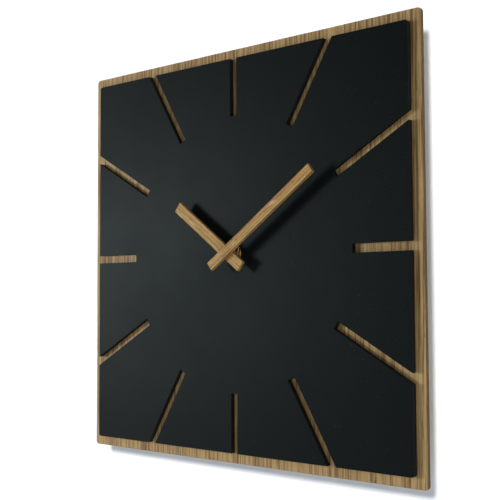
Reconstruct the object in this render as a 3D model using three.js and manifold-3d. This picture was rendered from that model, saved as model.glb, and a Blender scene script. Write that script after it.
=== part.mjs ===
// A square wall clock: a slotted black dial plate on an oak faced board, two oak bar hands and a
// battery quartz movement with its motion work, going train, stepping motor and cell.
// Millimetres. X runs to the right across the dial, Y into the wall and Z up. The origin is on the
// wall plane, on the hands' axis, so every piece lies at Y = 0 or less.
import * as THREE from "three";
import { mergeVertices } from "three/addons/utils/BufferGeometryUtils.js";
import Module from "manifold-3d";

const wasm = await Module();
wasm.setup();

// ---------------------------------------------------------------- driving dimensions

// Board and dial
const BOARD_SIDE = 300;
const BOARD_THICK = 3;
const BOARD_CORNER = 2.5;
const REVEAL = 7.5; // width of board that shows round the dial
const DIAL_THICK = 4;
const DIAL_CORNER = 2;
const SLOT_COUNT = 12;
const SLOT_WIDTH = 6;
const SLOT_START = 100; // from the hands' axis to a slot's inner end

// Hands: lengths are from the axis, turns are clockwise from twelve
const HAND_THICK = 2.4;
const HAND_GAP = 0.7;
const MINUTE_HAND = { tip: 93, tail: 16.5, width: 7.1, turn: 54.4 };
const HOUR_HAND = { tip: 59.5, tail: 16.3, width: 8.3, turn: 307.4 };
const HAND_SKIN = 0.9; // wood left in front of the minute hand's blind hole
const SOCKET_WALL = 0.6;
const FLANGE_THICK = 0.5;

// Neck and the pieces it clamps
const BUSH_RADIUS = 4;
const BUSH_PROUD = 0.2; // neck that shows past the nut
const BUSH_FLANGE = 1.5; // how far the neck's inner flange stands out
const FLANGE_DEPTH = 0.8;
const NUT_ACROSS_FLATS = 13;
const NUT_THICK = 2.5;
const NUT_WASHER_RADIUS = 7;
const NUT_WASHER_THICK = 0.5;
const RUBBER_RADIUS = 12;
const RUBBER_THICK = 1;
const HANGER_THICK = 0.8;
const HANGER_WIDTH = 26;
const HOOK_WIDTH = 12; // the hanger's arched hole for a wall nail
const HOOK_HEIGHT = 8.5;
const HOOK_RIM = 3;
const HOUR_COLLAR = 3.1; // from the neck's end to the hour hand

// Shafts
const PIPE_RADIUS = 2.5; // hour wheel's pipe
const ARBOR_RADIUS = 1.4; // minute arbor
const ARBOR_STEP = 0.35; // how much thicker the minute arbor is inside the case
const PIVOT_RADIUS = 0.5; // going train arbors

// Movement case
const CASE_WALL = 1.5;
const CASE_CORNER = 3;
const COVER_THICK = 1.2;
const DIVIDER_THICK = 1.2;
const ROOM_ABOVE = 20.5; // inside height above the hands' axis
const ROOM_BELOW = 15.3; // inside height below it, down to the divider
const POST_RADIUS = 2.2;
const BOSS_RADIUS = 2;
const KNOB_RADIUS = 4.8;
const KNOB_THICK = 2.1;
const KNOB_STEM = 1.2;
const KNOB_SUNK = 0.4; // knob's back face below the wall plane
const KNOB_FLUTES = 16;
const MARK_WIDTH = 0.7; // strokes of the marks sunk in the cover
const MARK_DEPTH = 0.3;

// Cell and its bay
const CELL_RADIUS = 7.1;
const CELL_LENGTH = 50.5;
const NUB_LENGTH = 1;
const NUB_RADIUS = 2.7;
const BAY_FLOOR = 0.9;
const CELL_SUNK = 0.6; // cell's back below the wall plane
const BAY_SPACE = 1.25; // at each end of the cell, for a contact strip
const STRIP_THICK = 0.4;
const STRIP_WIDTH = 4;

// Motion work: 10 to 30, then 8 to 32, gives 12 to 1
const MOTION_MODULE = 0.45;
const CANNON_TEETH = 10;
const MINUTE_WHEEL_TEETH = 30;
const MINUTE_PINION_TEETH = 8;
const HOUR_TEETH = 32;
const SETTING_TEETH = 15;
const MINUTE_WHEEL_AT = 150; // degrees from +X towards +Z, seen from the axis it meshes with
const SETTING_AT = 150;

// Going train: rotor to second wheel 30 to 1, second wheel to centre wheel 60 to 1
const TRAIN_MODULE = 0.22;
const PINION_TEETH = 8;
const CENTER_TEETH = 64;
const THIRD_TEETH = 60;
const SECOND_TEETH = 40;
const INTERMEDIATE_TEETH = 48;
const THIRD_AT = 60;
const INTERMEDIATE_AT = -20;
const ROTOR_AT = 10;

// Motor
const MAGNET_RADIUS = 3;
const STATOR_GAP = 0.6;
const STATOR_RING = 1.4;
const STATOR_BAR = 3; // half width of the bar that joins the ring to the two arms
const STATOR_TOP = 9;
const STATOR_BOTTOM = -12.5;
const STATOR_ARM = 3.5;
const COIL_OFFSET = 8.3; // rotor axis to coil axis
const WINDING_RADIUS = 2.7;
const WINDING_BORE = 1.8;
const BOBBIN_RIM = 0.4; // how far the bobbin's flanges stand out past the winding
const BOBBIN_FLANGE_THICK = 0.8;

// Circuit board
const CIRCUIT = { left: -22.5, right: -11.5, top: 2.5, thick: 1 };

// Clearances
const FACE_GAP = 0.3; // between a wall and a piece set inside it
const FIT_GAP = 0.1; // radial, between a shaft and what is pushed on it
const RUN_GAP = 0.2; // radial, between a pivot and its hole

// ---------------------------------------------------------------- derived places

const degrees = (angle) => (angle * Math.PI) / 180;
const polar = (from, distance, angle) => ({
  x: from.x + distance * Math.cos(degrees(angle)),
  z: from.z + distance * Math.sin(degrees(angle)),
});
const tipRadius = (teeth, module) => (teeth / 2 + 0.9) * module;
const meshDistance = (teethA, teethB, module) => ((teethA + teethB) / 2) * module;

const axisAt = { x: 0, z: 0 };
const minuteWheelAt = polar(
  axisAt,
  meshDistance(CANNON_TEETH, MINUTE_WHEEL_TEETH, MOTION_MODULE),
  MINUTE_WHEEL_AT,
);
const knobAt = polar(
  minuteWheelAt,
  meshDistance(MINUTE_WHEEL_TEETH, SETTING_TEETH, MOTION_MODULE),
  SETTING_AT,
);
const thirdDistance = meshDistance(CENTER_TEETH, PINION_TEETH, TRAIN_MODULE);
const thirdAt = polar(axisAt, thirdDistance, THIRD_AT);
// The third wheel drives back to the hands' axis, so its module follows from that distance.
const secondModule = (2 * thirdDistance) / (THIRD_TEETH + PINION_TEETH);
// The intermediate arbor stands just clear of the centre wheel's teeth.
const intermediateDistance = tipRadius(CENTER_TEETH, TRAIN_MODULE) + PIVOT_RADIUS + 0.42;
const intermediateModule = (2 * intermediateDistance) / (SECOND_TEETH + PINION_TEETH);
const intermediateAt = polar(axisAt, intermediateDistance, INTERMEDIATE_AT);
const rotorAt = polar(
  intermediateAt,
  meshDistance(INTERMEDIATE_TEETH, PINION_TEETH, TRAIN_MODULE),
  ROTOR_AT,
);
const coilX = rotorAt.x + COIL_OFFSET;
const bobbinFlange = WINDING_RADIUS + BOBBIN_RIM;

// The case is as deep as the cell or the wheel stack needs, whichever is more.
const STACK_HEIGHT = 12.3;
const STACK_TO_COVER = 1;
const caseDepth = Math.max(
  2 * CELL_RADIUS + BAY_FLOOR + FACE_GAP + CELL_SUNK,
  CASE_WALL + STACK_HEIGHT + STACK_TO_COVER + COVER_THICK,
);
const insideHalf = Math.max(
  CELL_LENGTH / 2 + BAY_SPACE,
  coilX + bobbinFlange + FACE_GAP,
  KNOB_RADIUS - knobAt.x + FACE_GAP,
);
const caseFront = -caseDepth;
const caseFloor = caseFront + CASE_WALL;
const caseTop = ROOM_ABOVE + CASE_WALL;
const bayTop = -ROOM_BELOW - DIVIDER_THICK;
const bayBottom = bayTop - 2 * (CELL_RADIUS + CELL_SUNK) - 0.9;
const caseBottom = bayBottom - CASE_WALL;
const cellAt = { y: -CELL_SUNK - CELL_RADIUS, z: (bayTop + bayBottom) / 2 };

// Front to back stack on the neck, as Y places
const hangerFront = caseFront - HANGER_THICK;
const boardBack = hangerFront - RUBBER_THICK;
const boardFront = boardBack - BOARD_THICK;
const dialFront = boardFront - DIAL_THICK;
const washerFront = dialFront - NUT_WASHER_THICK;
const nutFront = washerFront - NUT_THICK;
const bushFront = nutFront - BUSH_PROUD;
const hourBack = bushFront - HOUR_COLLAR;
const hourFront = hourBack - HAND_THICK;
const minuteBack = hourFront - HAND_GAP;
const minuteFront = minuteBack - HAND_THICK;

// Layers inside the case, measured from its floor
const layer = (from, thick) => ({ front: caseFloor + from, back: caseFloor + from + thick });
const AT = {
  hourWheel: layer(0.3, 1),
  minutePinion: layer(0.3, 1.2),
  cannonPinion: layer(1.6, 1.4),
  settingPinion: layer(1.8, 1),
  minuteWheel: layer(1.9, 0.8),
  trainPlate: layer(3.5, 1),
  arborFlange: layer(4.7, 0.3),
  thirdPinion: layer(4.9, 1.1),
  magnet: layer(5, 3.3),
  centerWheel: layer(5.1, 0.7),
  clutchWasher: layer(5.9, 0.3),
  stator: layer(6.2, 1),
  secondPinion: layer(7.1, 1.1),
  thirdWheel: layer(7.4, 0.6),
  coilCore: layer(7.2, 1),
  intermediatePinion: layer(8.1, 1),
  secondWheel: layer(8.3, 0.6),
  circuitBoard: layer(8.5, CIRCUIT.thick),
  rotorPinion: layer(9.6, 1.2),
  intermediateWheel: layer(9.9, 0.6),
  bridge: layer(11.3, 1),
};
const coverFront = -COVER_THICK;
const coilMiddle = (AT.coilCore.front + AT.coilCore.back) / 2;
const coilBottom = STATOR_BOTTOM + STATOR_ARM + 0.4;
const coilTop = STATOR_TOP - STATOR_ARM - 0.4;
const stripAt = CELL_LENGTH / 2 + 0.4; // inner face of the strip at each end of the cell
const stripFront = caseFloor + 5.5;
const stripBack = stripFront + STRIP_WIDTH;
const stripRun = -ROOM_BELOW + 0.1; // height at which the contact strips run along the divider
const pillars = [
  { x: -8.6, z: -6.5 },
  { x: -6.5, z: 12.5 },
  { x: rotorAt.x - 0.7, z: 12.5 },
  { x: intermediateAt.x + 0.3, z: intermediateAt.z - 8.7 },
];
const statorPegs = [STATOR_TOP - STATOR_ARM / 2, STATOR_BOTTOM + STATOR_ARM / 2].map((z) => ({
  x: rotorAt.x + 1.8,
  z,
}));
const boardPegs = [
  { x: CIRCUIT.left + 1.8, z: CIRCUIT.top - 1.8 },
  { x: CIRCUIT.right - 1.8, z: -ROOM_BELOW + 2.5 },
];
const plateBosses = [
  { x: insideHalf - 2.5, z: -ROOM_BELOW + 2.8 },
  { x: -insideHalf + 2.5, z: -ROOM_BELOW + 2.8 },
  { x: insideHalf - 6.5, z: ROOM_ABOVE - 2.5 },
  { x: -insideHalf + 6.5, z: ROOM_ABOVE - 2.5 },
];
const coverPosts = [-1, 1].map((side) => ({ x: side * (insideHalf - 1.5), z: ROOM_ABOVE - 1.5 }));

// ---------------------------------------------------------------- geometry helpers

// A closed three.js geometry as a solid that can be cut and joined.
function solid(geometry) {
  const bare = geometry.clone();
  bare.deleteAttribute("normal");
  bare.deleteAttribute("uv");
  const merged = mergeVertices(bare, 1e-4);
  const corners = merged.index.array;
  const triVerts = [];
  for (let i = 0; i < corners.length; i += 3) {
    const [a, b, c] = corners.slice(i, i + 3);
    if (a !== b && b !== c && c !== a) triVerts.push(a, b, c);
  }
  return new wasm.Manifold(
    new wasm.Mesh({
      numProp: 3,
      vertProperties: merged.attributes.position.array,
      triVerts: new Uint32Array(triVerts),
    }),
  );
}

const asSolid = (shape) => (shape.isBufferGeometry ? solid(shape) : shape);
const join = (...parts) => parts.map(asSolid).reduce((whole, part) => whole.add(part));
const cut = (body, ...tools) =>
  tools.map(asSolid).reduce((left, tool) => left.subtract(tool), asSolid(body));

// The finished solid as a three.js geometry.
function geometryOf(body) {
  const mesh = body.getMesh();
  const geometry = new THREE.BufferGeometry();
  geometry.setAttribute("position", new THREE.BufferAttribute(mesh.vertProperties, 3));
  geometry.setIndex(new THREE.BufferAttribute(mesh.triVerts, 1));
  const flat = geometry.toNonIndexed();
  flat.computeVertexNormals();
  return flat;
}

// A flat outline drawn in X and Z, made a plate between two Y places.
function slab(shape, front, back, curveSegments = 8) {
  const plate = new THREE.ExtrudeGeometry(shape, {
    depth: back - front,
    bevelEnabled: false,
    curveSegments,
  });
  return plate.rotateX(Math.PI / 2).translate(0, back, 0);
}

// A profile of [radius, y] pairs turned round an axis that is parallel to Y.
function turned(profile, at = axisAt, segments = 24) {
  const points = profile.map(([radius, y]) => new THREE.Vector2(radius, y));
  return new THREE.LatheGeometry(points, segments).translate(at.x, 0, at.z);
}

const disc = (radius, { front, back }, at = axisAt, segments = 24) =>
  turned([[0, front], [radius, front], [radius, back], [0, back]], at, segments);

const ring = (outer, inner, { front, back }, at = axisAt, segments = 24) =>
  turned([[inner, front], [outer, front], [outer, back], [inner, back], [inner, front]], at, segments);

function block(left, right, front, back, bottom, top) {
  return new THREE.BoxGeometry(right - left, back - front, top - bottom).translate(
    (left + right) / 2,
    (front + back) / 2,
    (bottom + top) / 2,
  );
}

function roundedOutline(left, right, bottom, top, radius) {
  const shape = new THREE.Shape();
  shape.moveTo(left + radius, bottom);
  shape.lineTo(right - radius, bottom);
  shape.absarc(right - radius, bottom + radius, radius, -Math.PI / 2, 0, false);
  shape.lineTo(right, top - radius);
  shape.absarc(right - radius, top - radius, radius, 0, Math.PI / 2, false);
  shape.lineTo(left + radius, top);
  shape.absarc(left + radius, top - radius, radius, Math.PI / 2, Math.PI, false);
  shape.lineTo(left, bottom + radius);
  shape.absarc(left + radius, bottom + radius, radius, Math.PI, 1.5 * Math.PI, false);
  return shape;
}

const outline = (points) => new THREE.Shape(points.map(([x, z]) => new THREE.Vector2(x, z)));

// A gear's outline: straight sided slim teeth, with one tooth's middle at the angle phase.
function gearOutline(teeth, module, phase) {
  const pitch = (2 * Math.PI) / teeth;
  const tip = tipRadius(teeth, module);
  const root = (teeth / 2 - 1.2) * module;
  const tipHalf = (0.28 * module) / tip;
  const rootHalf = (0.85 * module) / root;
  const points = [];
  for (let tooth = 0; tooth < teeth; tooth += 1) {
    const middle = phase + tooth * pitch;
    for (const [radius, offset] of [
      [root, -rootHalf],
      [tip, -tipHalf],
      [tip, tipHalf],
      [root, rootHalf],
    ]) {
      points.push([radius * Math.cos(middle + offset), radius * Math.sin(middle + offset)]);
    }
  }
  return outline(points);
}

const gear = (teeth, module, phase, { front, back }) =>
  slab(gearOutline(teeth, module, phase), front, back);

// The phase that puts a driven gear's gaps on the driving gear's teeth, across the line of centres
// that leaves the driving gear at the given angle.
function meshedPhase(lineAngle, drivingTeeth, drivingPhase, drivenTeeth) {
  const line = degrees(lineAngle);
  const drivingPitch = (2 * Math.PI) / drivingTeeth;
  const drivenPitch = (2 * Math.PI) / drivenTeeth;
  const along = (line - drivingPhase) / drivingPitch;
  return line + Math.PI - drivenPitch * (0.5 - along);
}

// A ribbon of sheet metal that follows a bent line in X and Z, on one side of it.
function ribbon(points, thick, front, back) {
  const right = points.map(([x, z], index) => {
    const [px, pz] = points[Math.max(index - 1, 0)];
    const [nx, nz] = points[Math.min(index + 1, points.length - 1)];
    const before = new THREE.Vector2(x - px, z - pz).normalize();
    const after = new THREE.Vector2(nx - x, nz - z).normalize();
    const step = new THREE.Vector2();
    if (index > 0) step.add(new THREE.Vector2(before.y, -before.x));
    if (index < points.length - 1) step.add(new THREE.Vector2(after.y, -after.x));
    const corner = index > 0 && index < points.length - 1 ? 1 + before.dot(after) : 1;
    return [x + (thick * step.x) / corner, z + (thick * step.y) / corner];
  });
  return slab(outline([...points, ...right.reverse()]), front, back);
}

// ---------------------------------------------------------------- board, dial and hands

const neckHole = { front: dialFront - 1, back: boardBack + 1 };

function backBoard() {
  const half = BOARD_SIDE / 2;
  const board = slab(roundedOutline(-half, half, -half, half, BOARD_CORNER), boardFront, boardBack, 6);
  return cut(board, disc(BUSH_RADIUS + FACE_GAP, neckHole));
}

function dialPlate() {
  const half = BOARD_SIDE / 2 - REVEAL;
  const plate = slab(roundedOutline(-half, half, -half, half, DIAL_CORNER), dialFront, boardFront, 6);
  const reach = half * Math.SQRT2 + 1;
  const slots = [];
  for (let hour = 0; hour < SLOT_COUNT; hour += 1) {
    const slot = block(
      -SLOT_WIDTH / 2,
      SLOT_WIDTH / 2,
      dialFront - 1,
      boardFront + 1,
      SLOT_START,
      reach,
    );
    slots.push(slot.rotateY((hour * 2 * Math.PI) / SLOT_COUNT));
  }
  return cut(plate, disc(BUSH_RADIUS + FACE_GAP, neckHole), ...slots);
}

// A plain bar hand that points up.
const bar = (hand, front, back) =>
  block(-hand.width / 2, hand.width / 2, front, back, -hand.tail, hand.tip);

const hourSocketRadius = PIPE_RADIUS + FIT_GAP + SOCKET_WALL;
const minuteSocketRadius = ARBOR_RADIUS + FIT_GAP + SOCKET_WALL;
const minuteSocketFront = minuteFront + HAND_SKIN;

function hourHand() {
  const hole = disc(hourSocketRadius + FIT_GAP, { front: hourFront - 1, back: hourBack + 1 });
  return cut(bar(HOUR_HAND, hourFront, hourBack), hole);
}

function minuteHand() {
  const hole = disc(minuteSocketRadius + FIT_GAP, { front: minuteSocketFront, back: minuteBack + 1 });
  return cut(bar(MINUTE_HAND, minuteFront, minuteBack), hole);
}

// A brass tube through the hour hand, with a collar that stands on the hand's back.
function hourHandBush() {
  const bore = PIPE_RADIUS + FIT_GAP;
  const collar = hourSocketRadius + 0.9;
  return turned([
    [bore, hourFront],
    [hourSocketRadius, hourFront],
    [hourSocketRadius, hourBack],
    [collar, hourBack],
    [collar, bushFront - 0.4],
    [bore, bushFront - 0.4],
    [bore, hourFront],
  ]);
}

// A brass cup in the minute hand's blind hole, with a flange under the hand.
function minuteHandBush() {
  const bore = ARBOR_RADIUS + FIT_GAP;
  const front = minuteSocketFront + FIT_GAP;
  return turned([
    [bore, front],
    [minuteSocketRadius, front],
    [minuteSocketRadius, minuteBack],
    [minuteSocketRadius + 0.9, minuteBack],
    [minuteSocketRadius + 0.9, minuteBack + FLANGE_THICK],
    [bore, minuteBack + FLANGE_THICK],
    [bore, front],
  ]);
}

// ---------------------------------------------------------------- neck and what it clamps

// The threaded neck: a tube with a flange that is set into the case's front wall.
function threadedBush() {
  const bore = PIPE_RADIUS + RUN_GAP + FIT_GAP;
  const flange = BUSH_RADIUS + BUSH_FLANGE;
  return turned([
    [bore, bushFront],
    [BUSH_RADIUS, bushFront],
    [BUSH_RADIUS, caseFloor - FLANGE_DEPTH],
    [flange, caseFloor - FLANGE_DEPTH],
    [flange, caseFloor],
    [bore, caseFloor],
    [bore, bushFront],
  ]);
}

function hexNut() {
  const corner = NUT_ACROSS_FLATS / Math.sqrt(3);
  const nut = disc(corner, { front: nutFront, back: washerFront }, axisAt, 6);
  return cut(nut, disc(BUSH_RADIUS + FIT_GAP, { front: nutFront - 1, back: washerFront + 1 }));
}

const nutWasher = () =>
  ring(NUT_WASHER_RADIUS, BUSH_RADIUS + RUN_GAP, { front: washerFront, back: dialFront }, axisAt, 32);

const rubberWasher = () =>
  ring(RUBBER_RADIUS, BUSH_RADIUS + RUN_GAP, { front: boardBack, back: hangerFront }, axisAt, 32);

// A stamped plate round the neck that stands up above the case, with an arched hole for a nail.
function hangerPlate() {
  const half = HANGER_WIDTH / 2;
  const hookBottom = caseTop + 2.5;
  const hookTop = hookBottom + HOOK_HEIGHT;
  const arch = HOOK_WIDTH / 2;
  const shape = roundedOutline(-half, half, -RUBBER_RADIUS, hookTop + HOOK_RIM, 5);
  const hook = new THREE.Shape();
  hook.moveTo(-arch, hookBottom);
  hook.lineTo(arch, hookBottom);
  hook.lineTo(arch, hookTop - arch);
  hook.absarc(0, hookTop - arch, arch, 0, Math.PI, false);
  hook.lineTo(-arch, hookBottom);
  const plate = slab(shape, hangerFront, caseFront, 6);
  const opening = slab(hook, hangerFront - 1, caseFront + 1, 10);
  const bush = disc(BUSH_RADIUS + RUN_GAP, { front: hangerFront - 1, back: caseFront + 1 });
  return cut(plate, opening, bush);
}

// ---------------------------------------------------------------- movement shells and plates

function movementCase() {
  const outside = insideHalf + CASE_WALL;
  const bayDeep = cellAt.y - CELL_RADIUS - FACE_GAP;
  const shell = cut(
    slab(roundedOutline(-outside, outside, caseBottom, caseTop, CASE_CORNER), caseFront, 0, 4),
    block(-insideHalf, insideHalf, caseFloor, 1, -ROOM_BELOW, ROOM_ABOVE),
    block(-insideHalf, insideHalf, bayDeep, 1, bayBottom, bayTop),
    // The divider is lower than the outer walls, and the cover's edge rests on it.
    block(-insideHalf, insideHalf, coverFront, 1, bayTop - 1, -ROOM_BELOW + 1),
  );
  const posts = coverPosts.map((at) =>
    disc(POST_RADIUS, { front: caseFloor - 1, back: coverFront }, at, 12),
  );
  const bosses = plateBosses.map((at) =>
    disc(BOSS_RADIUS, { front: caseFloor - 1, back: AT.trainPlate.front }, at, 12),
  );
  const notches = [-1, 1].map((side) => {
    const near = side * (stripAt - 0.75);
    const far = side * insideHalf;
    const [left, right] = side < 0 ? [far, near] : [near, far];
    return block(left, right, stripFront - 0.6, stripBack + 0.6, bayTop - 1, -ROOM_BELOW + 1);
  });
  return cut(
    join(shell, ...posts, ...bosses),
    disc(BUSH_RADIUS + FIT_GAP, { front: caseFront - 1, back: caseFloor + 1 }),
    disc(BUSH_RADIUS + BUSH_FLANGE + FIT_GAP, { front: caseFloor - FLANGE_DEPTH, back: caseFloor + 1 }),
    disc(PIVOT_RADIUS + RUN_GAP, { front: caseFloor - 0.8, back: caseFloor + 1 }, minuteWheelAt, 12),
    disc(KNOB_STEM + RUN_GAP, { front: caseFloor - 0.8, back: caseFloor + 1 }, knobAt, 12),
    ...notches,
  );
}

// An arrow with a head at each end, bent round a centre between two angles.
function bentArrow(at, radius, from, to) {
  const head = 20;
  const rim = (offset, angle) => {
    const { x, z } = polar(at, radius + offset * MARK_WIDTH, angle);
    return [x, z];
  };
  const turns = Array.from({ length: 13 }, (_, step) => from + head + ((to - from - 2 * head) * step) / 12);
  return outline([
    rim(0, from),
    rim(1.3, from + head),
    ...turns.map((angle) => rim(0.5, angle)),
    rim(1.3, to - head),
    rim(0, to),
    rim(-1.3, to - head),
    ...turns.reverse().map((angle) => rim(-0.5, angle)),
    rim(-1.3, from + head),
  ]);
}

// The cover over the wheels, with sunk marks for the way to turn the knob and for the cell's ends.
function backCover() {
  const edge = insideHalf - RUN_GAP;
  const bottom = bayTop + 0.15;
  const cover = block(-edge, edge, coverFront, 0, bottom, ROOM_ABOVE - RUN_GAP);
  const stroke = (x, z, halfWidth, halfHeight) =>
    block(x - halfWidth, x + halfWidth, -MARK_DEPTH, 1, z - halfHeight, z + halfHeight);
  const signAt = { x: edge - 5, z: bottom + 3 };
  const half = MARK_WIDTH / 2;
  return cut(
    cover,
    disc(KNOB_RADIUS + 0.4, { front: coverFront - 1, back: 1 }, knobAt, 24),
    slab(bentArrow(knobAt, KNOB_RADIUS + 2.3, 20, 160), -MARK_DEPTH, 1),
    stroke(signAt.x, signAt.z, 3 * half, half),
    stroke(signAt.x, signAt.z, half, 3 * half),
    stroke(-signAt.x, signAt.z, 3 * half, half),
  );
}

// The plate that parts the motion work from the going train, with the pillars and pegs moulded on.
function trainPlate() {
  const { front, back } = AT.trainPlate;
  const edge = insideHalf - FACE_GAP;
  const notch = 2 * POST_RADIUS + 1;
  const sheet = block(-edge, edge, front, back, -ROOM_BELOW + FACE_GAP, ROOM_ABOVE - FACE_GAP);
  const corners = [-1, 1].map((side) => {
    const far = side * (insideHalf + 1);
    const near = side * (insideHalf - notch);
    const [left, right] = side < 0 ? [far, near] : [near, far];
    return block(left, right, front - 1, back + 1, ROOM_ABOVE - notch, ROOM_ABOVE + 1);
  });
  const columns = pillars.flatMap((at) => [
    disc(1.5, { front: front + 0.5, back: AT.bridge.front }, at, 12),
    disc(0.8, { front: front + 0.5, back: AT.bridge.back - 0.2 }, at, 12),
  ]);
  const pegs = statorPegs.flatMap((at) => [
    disc(1.4, { front: front + 0.5, back: AT.stator.front }, at, 12),
    disc(0.7, { front: front + 0.5, back: AT.stator.back + 0.2 }, at, 12),
  ]);
  const stands = boardPegs.map((at) =>
    disc(1.3, { front: front + 0.5, back: AT.circuitBoard.front }, at, 12),
  );
  const through = { front: front - 1, back: back + 0.6 };
  const pivot = PIVOT_RADIUS + RUN_GAP;
  const coilRoom = bobbinFlange + FACE_GAP;
  const recess = block(coilX - coilRoom, coilX + coilRoom, coilMiddle - coilRoom, coilMiddle,
    coilBottom - FACE_GAP, coilTop + FACE_GAP);
  return cut(
    join(sheet, ...columns, ...pegs, ...stands),
    ...corners,
    recess,
    disc(arborBody + RUN_GAP, through),
    disc(KNOB_STEM + RUN_GAP, through, knobAt, 12),
    disc(pivot, through, minuteWheelAt, 12),
    disc(pivot, through, thirdAt, 12),
    disc(pivot, through, intermediateAt, 12),
    disc(pivot, through, rotorAt, 12),
  );
}

function trainBridge() {
  const { front, back } = AT.bridge;
  const left = Math.min(...pillars.map((at) => at.x)) - 2;
  const right = rotorAt.x + 3.8;
  const bottom = Math.min(...pillars.map((at) => at.z)) - 2;
  const top = Math.max(...pillars.map((at) => at.z)) + 2;
  const through = { front: front - 1, back: back + 1 };
  const pivots = [axisAt, thirdAt, intermediateAt, rotorAt];
  return cut(
    slab(roundedOutline(left, right, bottom, top, 2), front, back, 3),
    ...pivots.map((at) => disc(PIVOT_RADIUS + RUN_GAP, through, at, 12)),
    ...pillars.map((at) => disc(0.8 + FIT_GAP, through, at, 12)),
  );
}

// ---------------------------------------------------------------- motion work

const arborBody = ARBOR_RADIUS + ARBOR_STEP; // the minute arbor where it runs in the train plate
const cannonPhase = 0;
const minuteWheelPhase = meshedPhase(MINUTE_WHEEL_AT, CANNON_TEETH, cannonPhase, MINUTE_WHEEL_TEETH);
const settingPhase = meshedPhase(SETTING_AT, MINUTE_WHEEL_TEETH, minuteWheelPhase, SETTING_TEETH);
const minutePinionPhase = 0;
const hourLine = MINUTE_WHEEL_AT + 180;
const hourPhase = meshedPhase(hourLine, MINUTE_PINION_TEETH, minutePinionPhase, HOUR_TEETH);

// The long arbor that carries the minute hand: cannon pinion, journal, flange for the clutch, and a
// bore in its back end for the second wheel's front pivot.
function minuteArbor() {
  const back = AT.clutchWasher.back + 0.1;
  const shaft = disc(ARBOR_RADIUS, { front: minuteSocketFront + 0.3, back: AT.cannonPinion.back });
  const journal = disc(arborBody, { front: AT.minuteWheel.back + 0.1, back });
  return cut(
    join(
      shaft,
      journal,
      gear(CANNON_TEETH, MOTION_MODULE, cannonPhase, AT.cannonPinion),
      disc(arborBody + 0.9, AT.arborFlange),
    ),
    disc(PIVOT_RADIUS + RUN_GAP, { front: back - 2, back: back + 1 }, axisAt, 12),
  );
}

const clutchWasher = () => ring(arborBody + 1.4, arborBody + FIT_GAP, AT.clutchWasher);

function hourWheel() {
  const pipe = { front: hourFront + 0.2, back: AT.hourWheel.back };
  return cut(
    join(gear(HOUR_TEETH, MOTION_MODULE, hourPhase, AT.hourWheel), disc(PIPE_RADIUS, pipe)),
    disc(ARBOR_RADIUS + RUN_GAP, { front: pipe.front - 1, back: pipe.back + 1 }),
  );
}

function minuteWheel() {
  const arbor = { front: caseFloor - 0.6, back: AT.trainPlate.back - 0.2 };
  return join(
    gear(MINUTE_PINION_TEETH, MOTION_MODULE, minutePinionPhase, AT.minutePinion),
    gear(MINUTE_WHEEL_TEETH, MOTION_MODULE, minuteWheelPhase, AT.minuteWheel),
    disc(PIVOT_RADIUS, arbor, axisAt, 10),
    disc(1.2, { front: AT.minutePinion.front, back: AT.minuteWheel.front + 0.1 }, axisAt, 10),
  );
}

// The knob that sets the hands: a fluted head in the back cover, a stem and a pinion.
function settingKnob() {
  const head = { front: -KNOB_SUNK - KNOB_THICK, back: -KNOB_SUNK };
  const points = [];
  for (let i = 0; i < 2 * KNOB_FLUTES; i += 1) {
    const angle = (i * Math.PI) / KNOB_FLUTES;
    const radius = i % 2 ? KNOB_RADIUS : KNOB_RADIUS - 0.4;
    points.push([radius * Math.cos(angle), radius * Math.sin(angle)]);
  }
  return join(
    slab(outline(points), head.front, head.back),
    disc(KNOB_STEM, { front: caseFloor - 0.6, back: head.front + 0.5 }, axisAt, 12),
    gear(SETTING_TEETH, MOTION_MODULE, settingPhase, AT.settingPinion),
  );
}

// ---------------------------------------------------------------- going train and motor

const centerPhase = 0;
const thirdPinionPhase = meshedPhase(THIRD_AT, CENTER_TEETH, centerPhase, PINION_TEETH);
const thirdPhase = 0;
const secondPinionPhase = meshedPhase(THIRD_AT + 180, THIRD_TEETH, thirdPhase, PINION_TEETH);
const secondPhase = 0;
const intermediatePinionPhase = meshedPhase(INTERMEDIATE_AT, SECOND_TEETH, secondPhase, PINION_TEETH);
const intermediatePhase = 0;
const rotorPhase = meshedPhase(ROTOR_AT, INTERMEDIATE_TEETH, intermediatePhase, PINION_TEETH);

const centerWheel = () =>
  cut(
    gear(CENTER_TEETH, TRAIN_MODULE, centerPhase, AT.centerWheel),
    disc(arborBody + FIT_GAP, { front: AT.centerWheel.front - 1, back: AT.centerWheel.back + 1 }),
  );

const plateToBridge = { front: AT.trainPlate.front + 0.3, back: AT.bridge.back - 0.2 };

function thirdWheel() {
  return join(
    gear(PINION_TEETH, TRAIN_MODULE, thirdPinionPhase, AT.thirdPinion),
    gear(THIRD_TEETH, secondModule, thirdPhase, AT.thirdWheel),
    disc(PIVOT_RADIUS, plateToBridge, axisAt, 10),
  );
}

function secondWheel() {
  const arbor = { front: AT.clutchWasher.back + 0.1 - 1.7, back: plateToBridge.back };
  return join(
    gear(PINION_TEETH, secondModule, secondPinionPhase, AT.secondPinion),
    gear(SECOND_TEETH, intermediateModule, secondPhase, AT.secondWheel),
    disc(PIVOT_RADIUS, arbor, axisAt, 10),
  );
}

function intermediateWheel() {
  return join(
    gear(PINION_TEETH, intermediateModule, intermediatePinionPhase, AT.intermediatePinion),
    gear(INTERMEDIATE_TEETH, TRAIN_MODULE, intermediatePhase, AT.intermediateWheel),
    disc(PIVOT_RADIUS, plateToBridge, axisAt, 10),
  );
}

const rotorPinion = () =>
  join(
    gear(PINION_TEETH, TRAIN_MODULE, rotorPhase, AT.rotorPinion),
    disc(PIVOT_RADIUS, plateToBridge, axisAt, 10),
    disc(1, { front: AT.magnet.back + FIT_GAP, back: AT.rotorPinion.front + 0.2 }, axisAt, 12),
  );

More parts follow.
